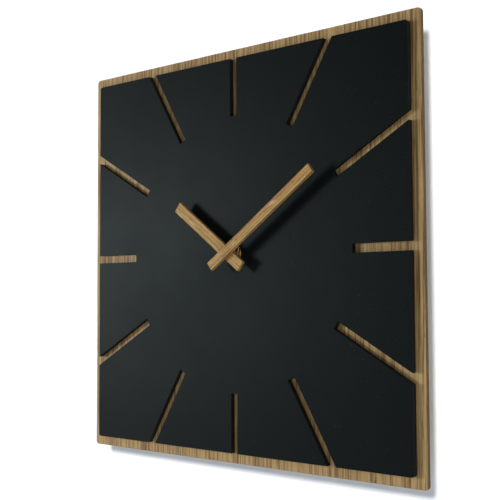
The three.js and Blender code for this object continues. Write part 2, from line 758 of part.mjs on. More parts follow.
const rotorMagnet = () => ring(MAGNET_RADIUS, PIVOT_RADIUS + FIT_GAP, AT.magnet);

// The stator: a ring round the magnet on a bar with two arms that reach across to the coil's core.
function stator() {
  const { front, back } = AT.stator;
  const armEnd = coilX + 1.6;
  const arm = (bottom, top) => block(rotorAt.x - STATOR_BAR, armEnd, front, back, bottom, top);
  const hole = MAGNET_RADIUS + STATOR_GAP;
  const through = { front: front - 1, back: back + 1 };
  return cut(
    join(
      block(rotorAt.x - STATOR_BAR, rotorAt.x + STATOR_BAR, front, back, STATOR_BOTTOM, STATOR_TOP),
      arm(STATOR_BOTTOM, STATOR_BOTTOM + STATOR_ARM),
      arm(STATOR_TOP - STATOR_ARM, STATOR_TOP),
      disc(hole + STATOR_RING, AT.stator, rotorAt),
    ),
    disc(hole, through, rotorAt),
    ...statorPegs.map((at) => disc(0.7 + RUN_GAP, through, at, 12)),
  );
}

const coilCore = () =>
  block(-1, 1, AT.coilCore.front, AT.coilCore.back, STATOR_BOTTOM, STATOR_TOP);

// The bobbin and the winding are turned about Y here, and their group lays that axis along Z.
function coilBobbin() {
  const bore = 1.25;
  const barrel = WINDING_BORE - FIT_GAP;
  const low = coilBottom + BOBBIN_FLANGE_THICK;
  const high = coilTop - BOBBIN_FLANGE_THICK;
  return turned([
    [bore, coilBottom],
    [bobbinFlange, coilBottom],
    [bobbinFlange, low],
    [barrel, low],
    [barrel, high],
    [bobbinFlange, high],
    [bobbinFlange, coilTop],
    [bore, coilTop],
    [bore, coilBottom],
  ]);
}

function coilWinding() {
  const low = coilBottom + BOBBIN_FLANGE_THICK + FIT_GAP;
  const high = coilTop - BOBBIN_FLANGE_THICK - FIT_GAP;
  return turned([
    [WINDING_BORE, low],
    [WINDING_RADIUS, low],
    [WINDING_RADIUS, high],
    [WINDING_BORE, high],
    [WINDING_BORE, low],
  ]);
}

// ---------------------------------------------------------------- electronics and cell

function circuitBoard() {
  const { front, back } = AT.circuitBoard;
  const { left, right, top } = CIRCUIT;
  return block(left, right, front, back, stripRun + STRIP_THICK + 0.2, top);
}

const icCover = () => turned([[0, 0], [2.2, 0], [1.9, 0.5], [1.2, 0.85], [0, 1]], axisAt, 16);

const quartzCrystal = () =>
  turned([[0, 0], [0.9, 0], [1, 0.15], [1, 5.7], [0.8, 6], [0, 6]], axisAt, 14);

// Each strip stands at an end of the cell, passes through its notch in the divider and runs along
// the divider to the circuit board. The ribbon lies to the right of the line that draws it.
function contactPositive() {
  const x = stripAt + STRIP_THICK;
  const line = [
    [CIRCUIT.right - 0.5, stripRun + STRIP_THICK],
    [x, stripRun + STRIP_THICK],
    [x, bayBottom + 2.5],
  ];
  return ribbon(line, STRIP_THICK, stripFront, stripBack);
}

function contactNegative() {
  const x = -stripAt - STRIP_THICK;
  const line = [
    [x, bayBottom + 2.5],
    [x, stripRun + STRIP_THICK],
    [CIRCUIT.left + 2.5, stripRun + STRIP_THICK],
  ];
  return ribbon(line, STRIP_THICK, stripFront, stripBack);
}

// The cell is turned about Y here, and its group lays it along X with its nub to the right.
const canEnd = CELL_LENGTH / 2 - NUB_LENGTH - 0.3;

const batteryCan = () =>
  turned(
    [
      [0, -CELL_LENGTH / 2],
      [CELL_RADIUS - 0.9, -CELL_LENGTH / 2],
      [CELL_RADIUS, -CELL_LENGTH / 2 + 0.9],
      [CELL_RADIUS, canEnd - 0.9],
      [CELL_RADIUS - 0.9, canEnd],
      [0, canEnd],
    ],
    axisAt,
    32,
  );

const batteryCap = () =>
  turned(
    [
      [0, canEnd],
      [CELL_RADIUS - 1.8, canEnd],
      [CELL_RADIUS - 1.8, canEnd + 0.3],
      [NUB_RADIUS, canEnd + 0.3],
      [NUB_RADIUS - 0.2, CELL_LENGTH / 2],
      [0, CELL_LENGTH / 2],
    ],
    axisAt,
    24,
  );

// ---------------------------------------------------------------- materials and assembly

const finish = (color, roughness, metalness = 0) => () =>
  new THREE.MeshStandardMaterial({ color, roughness, metalness });
const oak = finish(0xb08a58, 0.6);
const blackBoard = finish(0x2b2f2f, 0.75);
const brass = finish(0xb5924c, 0.35, 1);
const steel = finish(0xb4b6b8, 0.35, 1);
const rubber = finish(0x1c1c1c, 0.9);
const blackPlastic = finish(0x202122, 0.5);
const whitePlastic = finish(0xe4e2da, 0.45);
const magnet = finish(0x55585c, 0.4, 1);
const iron = finish(0x8d9093, 0.4, 1);
const copper = finish(0xb4672f, 0.35, 1);
const green = finish(0x2c5a3c, 0.6);
const epoxy = finish(0x141414, 0.4);
const sleeve = finish(0x3c566b, 0.4);

// A named group, placed and turned inside its parent.
function group(name, parent, { position = [0, 0, 0], rotation = [0, 0, 0] } = {}) {
  const made = new THREE.Group();
  made.name = name;
  made.position.set(...position);
  made.rotation.set(...rotation);
  if (parent) parent.add(made);
  return made;
}

function add(parent, name, shape, material, position = [0, 0, 0]) {
  const geometry = shape.isBufferGeometry ? shape : geometryOf(shape);
  const mesh = new THREE.Mesh(geometry, material());
  mesh.name = name;
  mesh.position.set(...position);
  parent.add(mesh);
}

const onAxis = (at) => [at.x, 0, at.z];
const boardFace = AT.circuitBoard.back;

const clock = group("wall_clock");
const face = group("face", clock);
const hourHandGroup = group("hour", clock, { rotation: [0, degrees(HOUR_HAND.turn), 0] });
const minuteHandGroup = group("minute", clock, { rotation: [0, degrees(MINUTE_HAND.turn), 0] });
const neck = group("neck", clock);
const movement = group("movement", clock);
const motionWork = group("motion_work", movement);
const goingTrain = group("going_train", movement);
const motor = group("motor", movement);
const coil = group("coil", motor, {
  position: [coilX, coilMiddle, 0],
  rotation: [Math.PI / 2, 0, 0],
});
const electronics = group("electronics", movement);
const crystal = group("crystal", electronics, {
  position: [CIRCUIT.left + 2.5, boardFace + 1.05, -11],
  rotation: [0, 0, -Math.PI / 2],
});
const cell = group("cell", movement, {
  position: [0, cellAt.y, cellAt.z],
  rotation: [0, 0, -Math.PI / 2],
});

add(face, "back_board", backBoard(), oak);
add(face, "dial_plate", dialPlate(), blackBoard);
add(hourHandGroup, "hour_hand", hourHand(), oak);
add(hourHandGroup, "hour_hand_bush", hourHandBush(), brass);
add(minuteHandGroup, "minute_hand", minuteHand(), oak);
add(minuteHandGroup, "minute_hand_bush", minuteHandBush(), brass);
add(neck, "threaded_bush", threadedBush(), brass);
add(neck, "hex_nut", hexNut(), brass);
add(neck, "nut_washer", nutWasher(), brass);
add(neck, "rubber_washer", rubberWasher(), rubber);
add(neck, "hanger_plate", hangerPlate(), steel);
add(movement, "movement_case", movementCase(), blackPlastic);
add(movement, "back_cover", backCover(), blackPlastic);
add(movement, "train_plate", trainPlate(), whitePlastic);
add(movement, "train_bridge", trainBridge(), whitePlastic);
add(motionWork, "minute_arbor", minuteArbor(), steel);
add(motionWork, "clutch_washer", clutchWasher(), steel);
add(motionWork, "hour_wheel", hourWheel(), whitePlastic);
add(motionWork, "minute_wheel", minuteWheel(), whitePlastic, onAxis(minuteWheelAt));
add(motionWork, "setting_knob", settingKnob(), whitePlastic, onAxis(knobAt));
add(goingTrain, "center_wheel", centerWheel(), whitePlastic);
add(goingTrain, "third_wheel", thirdWheel(), whitePlastic, onAxis(thirdAt));
add(goingTrain, "second_wheel", secondWheel(), whitePlastic);
add(goingTrain, "intermediate_wheel", intermediateWheel(), whitePlastic, onAxis(intermediateAt));
add(motor, "rotor_pinion", rotorPinion(), whitePlastic, onAxis(rotorAt));
add(motor, "rotor_magnet", rotorMagnet(), magnet, onAxis(rotorAt));
add(motor, "stator", stator(), iron);
add(motor, "coil_core", coilCore(), iron, [coilX, 0, 0]);
add(coil, "coil_bobbin", coilBobbin(), whitePlastic);
add(coil, "coil_winding", coilWinding(), copper);
add(electronics, "circuit_board", circuitBoard(), green);
add(electronics, "ic_cover", icCover(), epoxy, [CIRCUIT.left + 6.5, boardFace, -5]);
add(crystal, "quartz_crystal", quartzCrystal(), steel);
add(electronics, "contact_positive", contactPositive(), steel);
add(electronics, "contact_negative", contactNegative(), steel);
add(cell, "battery_can", batteryCan(), sleeve);
add(cell, "battery_cap", batteryCap(), steel);

export default clock;
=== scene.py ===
"""Dresses a slotted square wall clock: oak, a black lacquered board, brass and moulded plastic.

The frame gives every part its place. Shapes made here are numpy surfaces or softened copies of the
frame's own parts, in metres, with X to the right across the dial, Y into the wall and Z up.
"""

import math

import bmesh
import bpy
import numpy as np
from mathutils import Matrix, Vector


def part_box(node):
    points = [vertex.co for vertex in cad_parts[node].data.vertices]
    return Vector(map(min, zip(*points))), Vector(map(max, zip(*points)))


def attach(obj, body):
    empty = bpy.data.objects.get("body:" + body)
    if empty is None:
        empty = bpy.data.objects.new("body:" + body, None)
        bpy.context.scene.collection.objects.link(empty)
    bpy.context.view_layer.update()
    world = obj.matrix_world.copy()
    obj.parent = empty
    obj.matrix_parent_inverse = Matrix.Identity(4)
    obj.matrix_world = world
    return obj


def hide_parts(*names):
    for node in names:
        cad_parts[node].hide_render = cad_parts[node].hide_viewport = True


bl_info = {
    "name": "Slotted Wall Clock",
    "version": (1, 0, 0),
    "blender": (4, 5, 0),
    "location": "View3D > Sidebar > Wall Clock",
    "description": "Builds the finish of a square wall clock with oak hands and a quartz movement",
    "category": "Object",
}

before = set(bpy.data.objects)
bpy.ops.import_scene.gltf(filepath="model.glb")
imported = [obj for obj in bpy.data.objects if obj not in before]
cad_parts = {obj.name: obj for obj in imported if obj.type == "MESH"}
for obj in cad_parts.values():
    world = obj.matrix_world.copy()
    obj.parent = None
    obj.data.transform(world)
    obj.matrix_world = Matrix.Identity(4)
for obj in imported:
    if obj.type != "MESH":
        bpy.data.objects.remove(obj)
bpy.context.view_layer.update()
MM = 0.001
TURN = 2 * math.pi

SHARP_ANGLE = math.radians(32)  # sharper edges of the frame's parts are rounded
CREASE_ANGLE = math.radians(35)  # sharper edges of the surfaces made here stay creases
FLAT_ANGLE = math.radians(0.5)  # faces that meet flatter than this become one
SAME_PLACE = 1e-7

SHAFT_HOLE = 4.2 * MM  # radius of the washers' holes
WALL_GAP = 0.3 * MM  # from the frame's wall plane to the wall
SUN_HEADING = Vector((-0.29, 1.0, -0.48))  # the way the wall's own light travels
SUN_SPREAD = math.radians(12)

# ---- places read from the frame


def low(node):
    """A part's lowest corner."""
    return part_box(node)[0]


def high(node):
    """A part's highest corner."""
    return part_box(node)[1]


def middle(node):
    """The middle of a part's box."""
    return (low(node) + high(node)) / 2


def bar_turn(node):
    """A bar hand's turn about Y: the angle from Z of the line from the axis to its middle."""
    centre = middle(node)
    return math.atan2(centre.x, centre.z)


# ---- sizes and colours to change


def length(name, description, default):
    """A length property in metres."""
    return bpy.props.FloatProperty(
        name=name, description=description, default=default, min=0.0, precision=5, unit="LENGTH"
    )


def triple(name, description, default, **kind):
    """A property of three numbers."""
    return bpy.props.FloatVectorProperty(
        name=name, description=description, default=default, size=3, **kind
    )


def colour(name, description, default):
    """A linear colour property."""
    return triple(name, description, default, min=0.0, max=1.0, subtype="COLOR")


def amount(name, description, default, most=1.0):
    """A plain factor property."""
    return bpy.props.FloatProperty(
        name=name, description=description, default=default, min=0.0, max=most, subtype="FACTOR"
    )


def position(name, description, default):
    """A place property in metres."""
    return triple(name, description, default, subtype="TRANSLATION", unit="LENGTH")


class ClockShapes(bpy.types.PropertyGroup):
    """Sizes of the details that the finish adds."""

    dial_edge: length("Dial edge", "Rounding of the dial plate's cut edges", 0.25 * MM)
    board_edge: length("Board edge", "Rounding of the oak board's edges", 0.3 * MM)
    hand_edge: length("Hand edge", "Rounding of the hands' long edges", 0.4 * MM)
    case_edge: length("Case edge", "Rounding of the moulded case's edges", 0.3 * MM)
    sheet_edge: length("Sheet edge", "Rounding of the stamped hanger's edges", 0.12 * MM)
    thread_pitch: length("Thread pitch", "Distance between the neck's threads", 0.75 * MM)
    thread_depth: length("Thread depth", "Depth of the neck's threads", 0.32 * MM)
    nut_flats: length("Nut flats", "Size of the nut across its flats", 13 * MM)
    wire_pitch: length("Wire pitch", "Distance between turns of the coil's wire", 0.2 * MM)


class ClockColours(bpy.types.PropertyGroup):
    """Colours of the finishes."""

    dial: colour("Dial", "Black lacquer of the dial plate", (0.0030, 0.0038, 0.0041))
    board_light: colour("Board light", "Late wood of the oak board", (0.51, 0.348, 0.146))
    board_dark: colour("Board dark", "Early wood of the oak board", (0.165, 0.088, 0.030))
    hand_light: colour("Hand light", "Late wood of the oak hands", (0.475, 0.290, 0.086))
    hand_dark: colour("Hand dark", "Early wood of the oak hands", (0.300, 0.165, 0.045))
    pore: colour("Pores", "Open pores of the oak", (0.09, 0.045, 0.018))
    brass: colour("Brass", "Turned brass of neck, nut and sockets", (0.78, 0.56, 0.25))
    case: colour("Case", "Black plastic of the movement", (0.018, 0.018, 0.020))
    wheel: colour("Wheels", "Natural plastic of wheels and plates", (0.74, 0.72, 0.65))
    sleeve: colour("Cell sleeve", "Printed sleeve of the cell", (0.045, 0.085, 0.14))


class ClockStage(bpy.types.PropertyGroup):
    """The camera, the lamps and the room."""

    camera_at: position("Camera place", "Where the camera stands", (0.4085, -0.5168, -0.0330))
    camera_turn: triple(
        "Camera turn",
        "The camera's heading from the wall's normal, its pitch upwards and its roll",
        (math.radians(38.65), math.radians(3.18), math.radians(-0.28)),
        subtype="EULER",
    )
    lens: bpy.props.FloatProperty(
        name="Lens", description="Focal length on a 36 mm sensor", default=64.08, unit="CAMERA"
    )
    key_at: position("Key lamp", "Place of the key lamp", (-1.60, -1.43, 0.11))
    key_size: length("Key size", "Side of the square key lamp", 0.55)
    key_level: amount("Key level", "Share of plain light that the key lamp gives", 0.50, 4.0)
    room_level: amount("Room level", "Brightness of the room round the clock", 0.30, 4.0)
    wall_glow: amount("Wall glow", "Light added to the wall where it is seen", 0.115)
    wall_level: amount("Wall level", "Share of plain light that falls on the wall", 1.5, 4.0)
    floor_glow: amount("Floor glow", "Light added to the floor where it is seen", 0.8)


def shapes():
    return bpy.context.scene.clock_shapes


def colours():
    return bpy.context.scene.clock_colours


def stage():
    return bpy.context.scene.clock_stage


# ---- node trees


class Tree:
    """A node tree being built: each call adds a node, feeds it and returns what it puts out."""

    def __init__(self, tree):
        self.tree = tree

    def node(self, kind, settings=None, feeds=None):
        """Adds a node, sets its own values, and feeds sockets by name or number."""
        made = self.tree.nodes.new(kind)
        for key, value in (settings or {}).items():
            setattr(made, key, value)
        for key, value in (feeds or {}).items():
            self.feed(made.inputs[key], value)
        return made

    def feed(self, socket, value):
        """Links a socket to another's output, or sets its value."""
        if isinstance(value, bpy.types.NodeSocket):
            self.tree.links.new(value, socket)
        elif isinstance(value, (tuple, list)) and socket.type == "RGBA":
            socket.default_value = (*value[:3], 1.0)
        else:
            socket.default_value = value

    def math(self, operation, first, second=0.0, third=0.0):
        settings = {"operation": operation}
        return self.node("ShaderNodeMath", settings, {0: first, 1: second, 2: third}).outputs[0]

    def times(self, first, second):
        return self.math("MULTIPLY", first, second)

    def vector(self, operation, first, second=(0.0, 0.0, 0.0)):
        made = self.node("ShaderNodeVectorMath", {"operation": operation}, {0: first, 1: second})
        return made.outputs["Value" if operation == "LENGTH" else "Vector"]

    def scaled(self, vector, factors):
        return self.vector("MULTIPLY", vector, factors)

    def mix(self, factor, first, second):
        settings = {"data_type": "RGBA", "clamp_factor": True}
        return self.node("ShaderNodeMix", settings, {0: factor, 6: first, 7: second}).outputs[2]

    def fade(self, value, start, end, low_value=0.0, high_value=1.0):
        """Carries start..end smoothly to low_value..high_value."""
        feeds = {0: value, 1: start, 2: end, 3: low_value, 4: high_value}
        settings = {"interpolation_type": "SMOOTHSTEP"}
        return self.node("ShaderNodeMapRange", settings, feeds).outputs[0]

    def noise(self, vector, scale, detail=2.0, roughness=0.5):
        feeds = {"Vector": vector, "Scale": scale, "Detail": detail, "Roughness": roughness}
        return self.node("ShaderNodeTexNoise", None, feeds).outputs["Fac"]

    def parts(self, vector):
        return self.node("ShaderNodeSeparateXYZ", None, {0: vector}).outputs

    def bump(self, height, distance, strength=1.0):
        feeds = {"Height": height, "Distance": distance, "Strength": strength}
        return self.node("ShaderNodeBump", None, feeds).outputs["Normal"]


SOCKETS = {
    "color": "NodeSocketColor",
    "value": "NodeSocketFloat",
    "vector": "NodeSocketVector",
}


def effect(name, inputs, outputs, build):
    """A shared node group, built once.

    inputs and outputs are (label, kind). build gets the tree and the inputs by label, and returns
    the outputs by label.
    """
    if name in bpy.data.node_groups:
        return bpy.data.node_groups[name]
    group = bpy.data.node_groups.new(name, "ShaderNodeTree")
    for label, kind in inputs:
        group.interface.new_socket(label, in_out="INPUT", socket_type=SOCKETS[kind])
    for label, kind in outputs:
        group.interface.new_socket(label, in_out="OUTPUT", socket_type=SOCKETS[kind])
    tree = Tree(group)
    entry = group.nodes.new("NodeGroupInput")
    ends = group.nodes.new("NodeGroupOutput")
    results = build(tree, {label: entry.outputs[label] for label, _ in inputs})
    for label, _ in outputs:
        group.links.new(results[label], ends.inputs[label])
    return group


def use(tree, group, **feeds):
    """Places a shared group in a material and feeds its inputs; returns its outputs."""
    made = tree.node("ShaderNodeGroup", {"node_tree": group})
    for key, value in feeds.items():
        tree.feed(made.inputs[key.replace("_", " ").capitalize()], value)
    return made.outputs


def oak_grain():
    """Flat sawn oak with its grain along the third axis.

    The rings are planes that a slow noise bends; each starts with a dark row of pores that fades to
    late wood. Fibres and pores are noises stretched along the grain.
    """

    def build(tree, given):
        along = tree.scaled(given["Vector"], (1.0, 1.0, 0.045))
        fine = tree.scaled(given["Vector"], (1.0, 1.0, 0.022))
        x, y, _ = tree.parts(given["Vector"])
        bend = tree.math("SUBTRACT", tree.noise(along, 38.0, 3.0), 0.5)
        sway = tree.times(bend, 0.030)
        depth = tree.math("MULTIPLY_ADD", y, 0.4, x)
        ring = tree.math("DIVIDE", tree.math("ADD", depth, sway), given["Ring spacing"])
        place = tree.math("FRACT", ring)
        early = tree.fade(place, 0.0, 0.55, 1.0, 0.0)
        late = tree.fade(place, 0.86, 1.0, 0.0, 1.0)
        row = tree.math("MAXIMUM", early, late)
        broad = tree.fade(tree.noise(along, 95.0, 2.0), 0.32, 0.68)
        fibre = tree.noise(fine, 1300.0, 3.0, 0.6)
        streak = tree.noise(fine, 680.0, 2.0, 0.6)
        tone = tree.math("MULTIPLY_ADD", row, 0.40, tree.times(broad, 0.34))
        tone = tree.math("MULTIPLY_ADD", tree.math("SUBTRACT", streak, 0.5), 3.4, tone)
        tone = tree.math("MULTIPLY_ADD", tree.math("SUBTRACT", fibre, 0.5), 1.5, tone)
        body = tree.mix(tree.math("MAXIMUM", tone, 0.0), given["Light wood"], given["Dark wood"])
        short = tree.scaled(given["Vector"], (1.0, 1.0, 0.05))
        ray = tree.fade(tree.noise(short, 420.0, 1.0), 0.62, 0.72)
        ray = tree.times(ray, given["Fleck"])
        body = tree.mix(ray, body, (0.82, 0.62, 0.40))
        thin = tree.scaled(given["Vector"], (1.0, 1.0, 0.035))
        least = tree.math("MULTIPLY_ADD", row, -0.085, 0.70)
        pore = tree.math("GREATER_THAN", tree.noise(thin, 2300.0, 1.0), least)
        color = tree.mix(tree.times(pore, 0.75), body, given["Pore color"])
        height = tree.math("SUBTRACT", tree.times(fibre, 0.35), pore)
        rough = tree.math("MULTIPLY_ADD", pore, 0.2, tree.math("MULTIPLY_ADD", streak, 0.16, 0.44))
        return {"Color": color, "Height": height, "Roughness": rough}

    inputs = [
        ("Vector", "vector"),
        ("Light wood", "color"),
        ("Dark wood", "color"),
        ("Pore color", "color"),
        ("Ring spacing", "value"),
        ("Fleck", "value"),
    ]
    outputs = [("Color", "color"), ("Height", "value"), ("Roughness", "value")]
    return effect("Oak grain", inputs, outputs, build)


def fine_grit():
    """A fine grit height and sparse dust specks, from two sizes of noise."""

    def build(tree, given):
        small = tree.noise(given["Vector"], given["Scale"], 3.0, 0.6)
        large = tree.noise(given["Vector"], tree.times(given["Scale"], 0.12), 2.0)
        height = tree.math("MULTIPLY_ADD", large, 0.6, small)
        specks = tree.noise(given["Vector"], tree.times(given["Scale"], 0.55), 0.0)
        return {"Height": height, "Specks": tree.fade(specks, 0.80, 0.86)}

    inputs = [("Vector", "vector"), ("Scale", "value")]
    return effect("Fine grit", inputs, [("Height", "value"), ("Specks", "value")], build)


def handling_marks():
    """Wide soft smudges, and a few thin straight scratches where a stretched noise peaks."""

    def build(tree, given):
        smudge = tree.fade(tree.noise(given["Vector"], given["Scale"], 4.0, 0.6), 0.3, 0.75)
        lean = tree.scaled(given["Vector"], (1.0, 1.0, 0.05))
        line = tree.noise(lean, tree.times(given["Scale"], 28.0), 0.0)
        return {"Smudge": smudge, "Scratch": tree.fade(line, 0.79, 0.84)}

    inputs = [("Vector", "vector"), ("Scale", "value")]
    return effect("Handling marks", inputs, [("Smudge", "value"), ("Scratch", "value")], build)


def turning_lines():
    """Rings left by a lathe tool: a sine of the radius about Y plus Y, broken by noise."""

    def build(tree, given):
        x, y, z = tree.parts(given["Vector"])
        flat = tree.node("ShaderNodeCombineXYZ", None, {0: x, 2: z}).outputs[0]
        radius = tree.vector("LENGTH", flat)
        run = tree.times(tree.math("ADD", radius, y), TURN)
        wave = tree.math("SINE", tree.math("DIVIDE", run, given["Pitch"]))
        broken = tree.times(wave, tree.noise(given["Vector"], 900.0, 2.0))
        tarnish = tree.fade(tree.noise(given["Vector"], 420.0, 3.0), 0.4, 0.75)
        return {"Height": broken, "Tarnish": tarnish}

    inputs = [("Vector", "vector"), ("Pitch", "value")]
    return effect("Turning lines", inputs, [("Height", "value"), ("Tarnish", "value")], build)


def rolled_lines():
    """Fine parallel lines of rolled or brushed sheet along the third axis: a stretched noise."""

    def build(tree, given):
        lean = tree.scaled(given["Vector"], (1.0, 1.0, 0.015))
        lines = tree.noise(lean, given["Scale"], 3.0, 0.7)
        blotch = tree.noise(given["Vector"], tree.times(given["Scale"], 0.08), 3.0)
        return {"Height": lines, "Blotch": blotch}

    inputs = [("Vector", "vector"), ("Scale", "value")]
    return effect("Rolled lines", inputs, [("Height", "value"), ("Blotch", "value")], build)


# ---- finishes


class Finish:
    """A material under construction: its tree, its shader and the coordinates of the piece."""

    def __init__(self, name, roughness=0.5, metallic=0.0, **sockets):
        self.material = bpy.data.materials.new(name)
        self.material.use_nodes = True
        self.tree = Tree(self.material.node_tree)
        self.shader = self.material.node_tree.nodes["Principled BSDF"]
        self.shader.inputs["Roughness"].default_value = roughness
        self.shader.inputs["Metallic"].default_value = metallic
        for key, value in sockets.items():
            label = key.replace("_", " ").title().replace("Ior", "IOR")
            self.shader.inputs[label].default_value = value
        self.place = self.tree.node("ShaderNodeTexCoord").outputs["Object"]

    def turned(self, rotation, location=(0.0, 0.0, 0.0), squeeze=1.0):
        """The piece's coordinates, moved, turned and then squeezed along the third axis."""
        moved = self.tree.vector("SUBTRACT", self.place, location)
        settings = {"vector_type": "POINT"}
        made = self.tree.node("ShaderNodeMapping", settings, {0: moved, 2: rotation}).outputs[0]
        return self.tree.scaled(made, (1.0, 1.0, squeeze))

    def set(self, **feeds):
        """Feeds the shader's varying sockets."""
        for key, value in feeds.items():
            self.tree.feed(self.shader.inputs[key.replace("_", " ").title()], value)
        return self


def black_lacquer():
    """Matt black lacquer: faint drift of tone, fine grit, smudged gloss and a little dust."""
    made = Finish(
        "dial black lacquer",
        roughness=0.5,
        specular_ior_level=0.067,
        specular_tint=(0.74, 1.0, 0.97, 1.0),
    )
    tree = made.tree
    grit = use(tree, fine_grit(), vector=made.place, scale=1500.0)
    marks = use(tree, handling_marks(), vector=made.place, scale=11.0)
    base = colours().dial[:]
    lighter = tuple(1.35 * channel for channel in base)
    drift = tree.noise(made.place, 6.0, 3.0)
    tone = tree.mix(tree.fade(drift, 0.35, 0.7), base, lighter)
    tone = tree.mix(tree.times(grit["Specks"], 0.18), tone, (0.10, 0.10, 0.10))
    rough = tree.math("MULTIPLY_ADD", marks["Smudge"], 0.06, 0.44)
    return made.set(
        base_color=tone, roughness=rough, normal=tree.bump(grit["Height"], 0.00002, 0.5)
    ).material


def cut_edge():
    """The dial plate's sawn edge: black dyed board, faintly layered through its thickness."""
    made = Finish("dial cut edge", roughness=0.8, specular_ior_level=0.2)
    tree = made.tree
    layered = tree.scaled(made.place, (0.12, 1.0, 0.12))
    fibre = tree.noise(layered, 4200.0, 3.0, 0.65)
    tone = tree.mix(tree.fade(fibre, 0.3, 0.75), (0.004, 0.004, 0.004), (0.014, 0.013, 0.012))
    return made.set(base_color=tone, normal=tree.bump(fibre, 0.00004, 0.6)).material


def oak(name, light, dark, rotation, location, ring, squeeze, fleck):
    """Oiled oak whose grain runs along the third axis after the piece's coordinates are turned.

    ring is the width of a year's growth in metres, squeeze shortens the streaks, and fleck is the
    strength of the pale rays.
    """
    made = Finish(name, roughness=0.5, specular_ior_level=0.2)
    tree = made.tree
    grain = use(
        tree,
        oak_grain(),
        vector=made.turned(rotation, location, squeeze),
        light_wood=light[:],
        dark_wood=dark[:],
        pore_color=colours().pore[:],
        ring_spacing=ring,
        fleck=fleck,
    )
    marks = use(tree, handling_marks(), vector=made.place, scale=20.0)
    tone = tree.mix(tree.times(marks["Smudge"], 0.18), grain["Color"], dark[:])
    return made.set(
        base_color=tone,
        roughness=grain["Roughness"],
        normal=tree.bump(grain["Height"], 0.00006, 0.55),
    ).material


def burnt_oak(name, tone, deeper):
    """Oak browned by the cutter that sawed it: soot in patches over fibres that run both ways."""
    made = Finish(name, roughness=0.7, specular_ior_level=0.15)
    tree = made.tree
    patch = tree.noise(made.place, 900.0, 3.0, 0.6)
    layered = tree.noise(tree.scaled(made.place, (0.3, 1.0, 0.3)), 3500.0, 2.0)
    shade = tree.mix(tree.fade(patch, 0.3, 0.7), tone, deeper)
    shade = tree.mix(tree.times(layered, 0.4), shade, deeper)
    return made.set(base_color=shade, normal=tree.bump(layered, 0.00004, 0.5)).material


def turned_brass():
    """Turned brass: lathe lines, brown tarnish in patches and duller where it is tarnished."""
    made = Finish("turned brass", roughness=0.3, metallic=1.0)
    tree = made.tree
    lines = use(tree, turning_lines(), vector=made.place, pitch=0.00022)
    bright = colours().brass[:]
    dull = tuple(0.55 * channel for channel in bright)
    tone = tree.mix(tree.times(lines["Tarnish"], 0.5), bright, dull)
    rough = tree.math("MULTIPLY_ADD", lines["Tarnish"], 0.18, 0.16)
    return made.set(
        base_color=tone, roughness=rough, normal=tree.bump(lines["Height"], 0.00001, 0.6)
    ).material


def metal(name, light, dark, rough, lines, rotation=(0.0, 0.0, 0.0)):
    """Sheet or drawn metal: fine rolled lines, blotches of tone and scratches that catch light."""
    made = Finish(name, roughness=rough, metallic=1.0)
    tree = made.tree
    rolled = use(tree, rolled_lines(), vector=made.turned(rotation), scale=lines)
    marks = use(tree, handling_marks(), vector=made.place, scale=60.0)
    tone = tree.mix(tree.fade(rolled["Blotch"], 0.3, 0.7), light, dark)
    tone = tree.mix(tree.times(marks["Scratch"], 0.5), tone, (0.85, 0.85, 0.85))
    worn = tree.math("MULTIPLY_ADD", rolled["Blotch"], 0.22, rough - 0.1)
    return made.set(
        base_color=tone, roughness=worn, normal=tree.bump(rolled["Height"], 0.000008, 0.5)
    ).material


def moulded(name, tone, rough, grain, shift=0.2):
    """Moulded plastic: spark eroded grain, flow marks in the tone and rubbed patches of gloss."""
    made = Finish(name, roughness=rough)
    tree = made.tree
    grit = use(tree, fine_grit(), vector=made.place, scale=grain)
    marks = use(tree, handling_marks(), vector=made.place, scale=70.0)
    darker = tuple((1 - shift) * channel for channel in tone[:])
    flow = tree.fade(tree.noise(made.place, 160.0, 3.0, 0.6), 0.3, 0.7)
    shade = tree.mix(flow, tone[:], darker)
    shade = tree.mix(tree.times(marks["Scratch"], 0.15), shade, (0.5, 0.5, 0.5))
    worn = tree.math("MULTIPLY_ADD", marks["Smudge"], -0.12, rough + 0.05)
    return made.set(
        base_color=shade, roughness=worn, normal=tree.bump(grit["Height"], 0.000015, 0.7)
    ).material


def black_rubber():
    """Moulded rubber with a dusty bloom: fine grit, and grey where the bloom gathers."""
    made = Finish("washer rubber", roughness=0.85, specular_ior_level=0.3)
    tree = made.tree
    grit = use(tree, fine_grit(), vector=made.place, scale=2600.0)
    bloom = tree.fade(tree.noise(made.place, 260.0, 4.0, 0.65), 0.45, 0.75)
    tone = tree.mix(tree.times(bloom, 0.5), (0.012, 0.012, 0.012), (0.05, 0.048, 0.045))
    return made.set(base_color=tone, normal=tree.bump(grit["Height"], 0.00002, 0.8)).material


def enamelled_copper():
    """Fine enamelled wire: a coated copper whose tone drifts from turn to turn."""
    made = Finish(
        "enamelled copper", roughness=0.35, metallic=0.9, coat_roughness=0.15, coat_weight=0.4
    )
    tree = made.tree
    band = tree.noise(tree.scaled(made.place, (0.1, 0.1, 1.0)), 2500.0, 2.0)
    tone = tree.mix(tree.fade(band, 0.3, 0.7), (0.55, 0.20, 0.07), (0.34, 0.10, 0.03))
    return made.set(base_color=tone).material


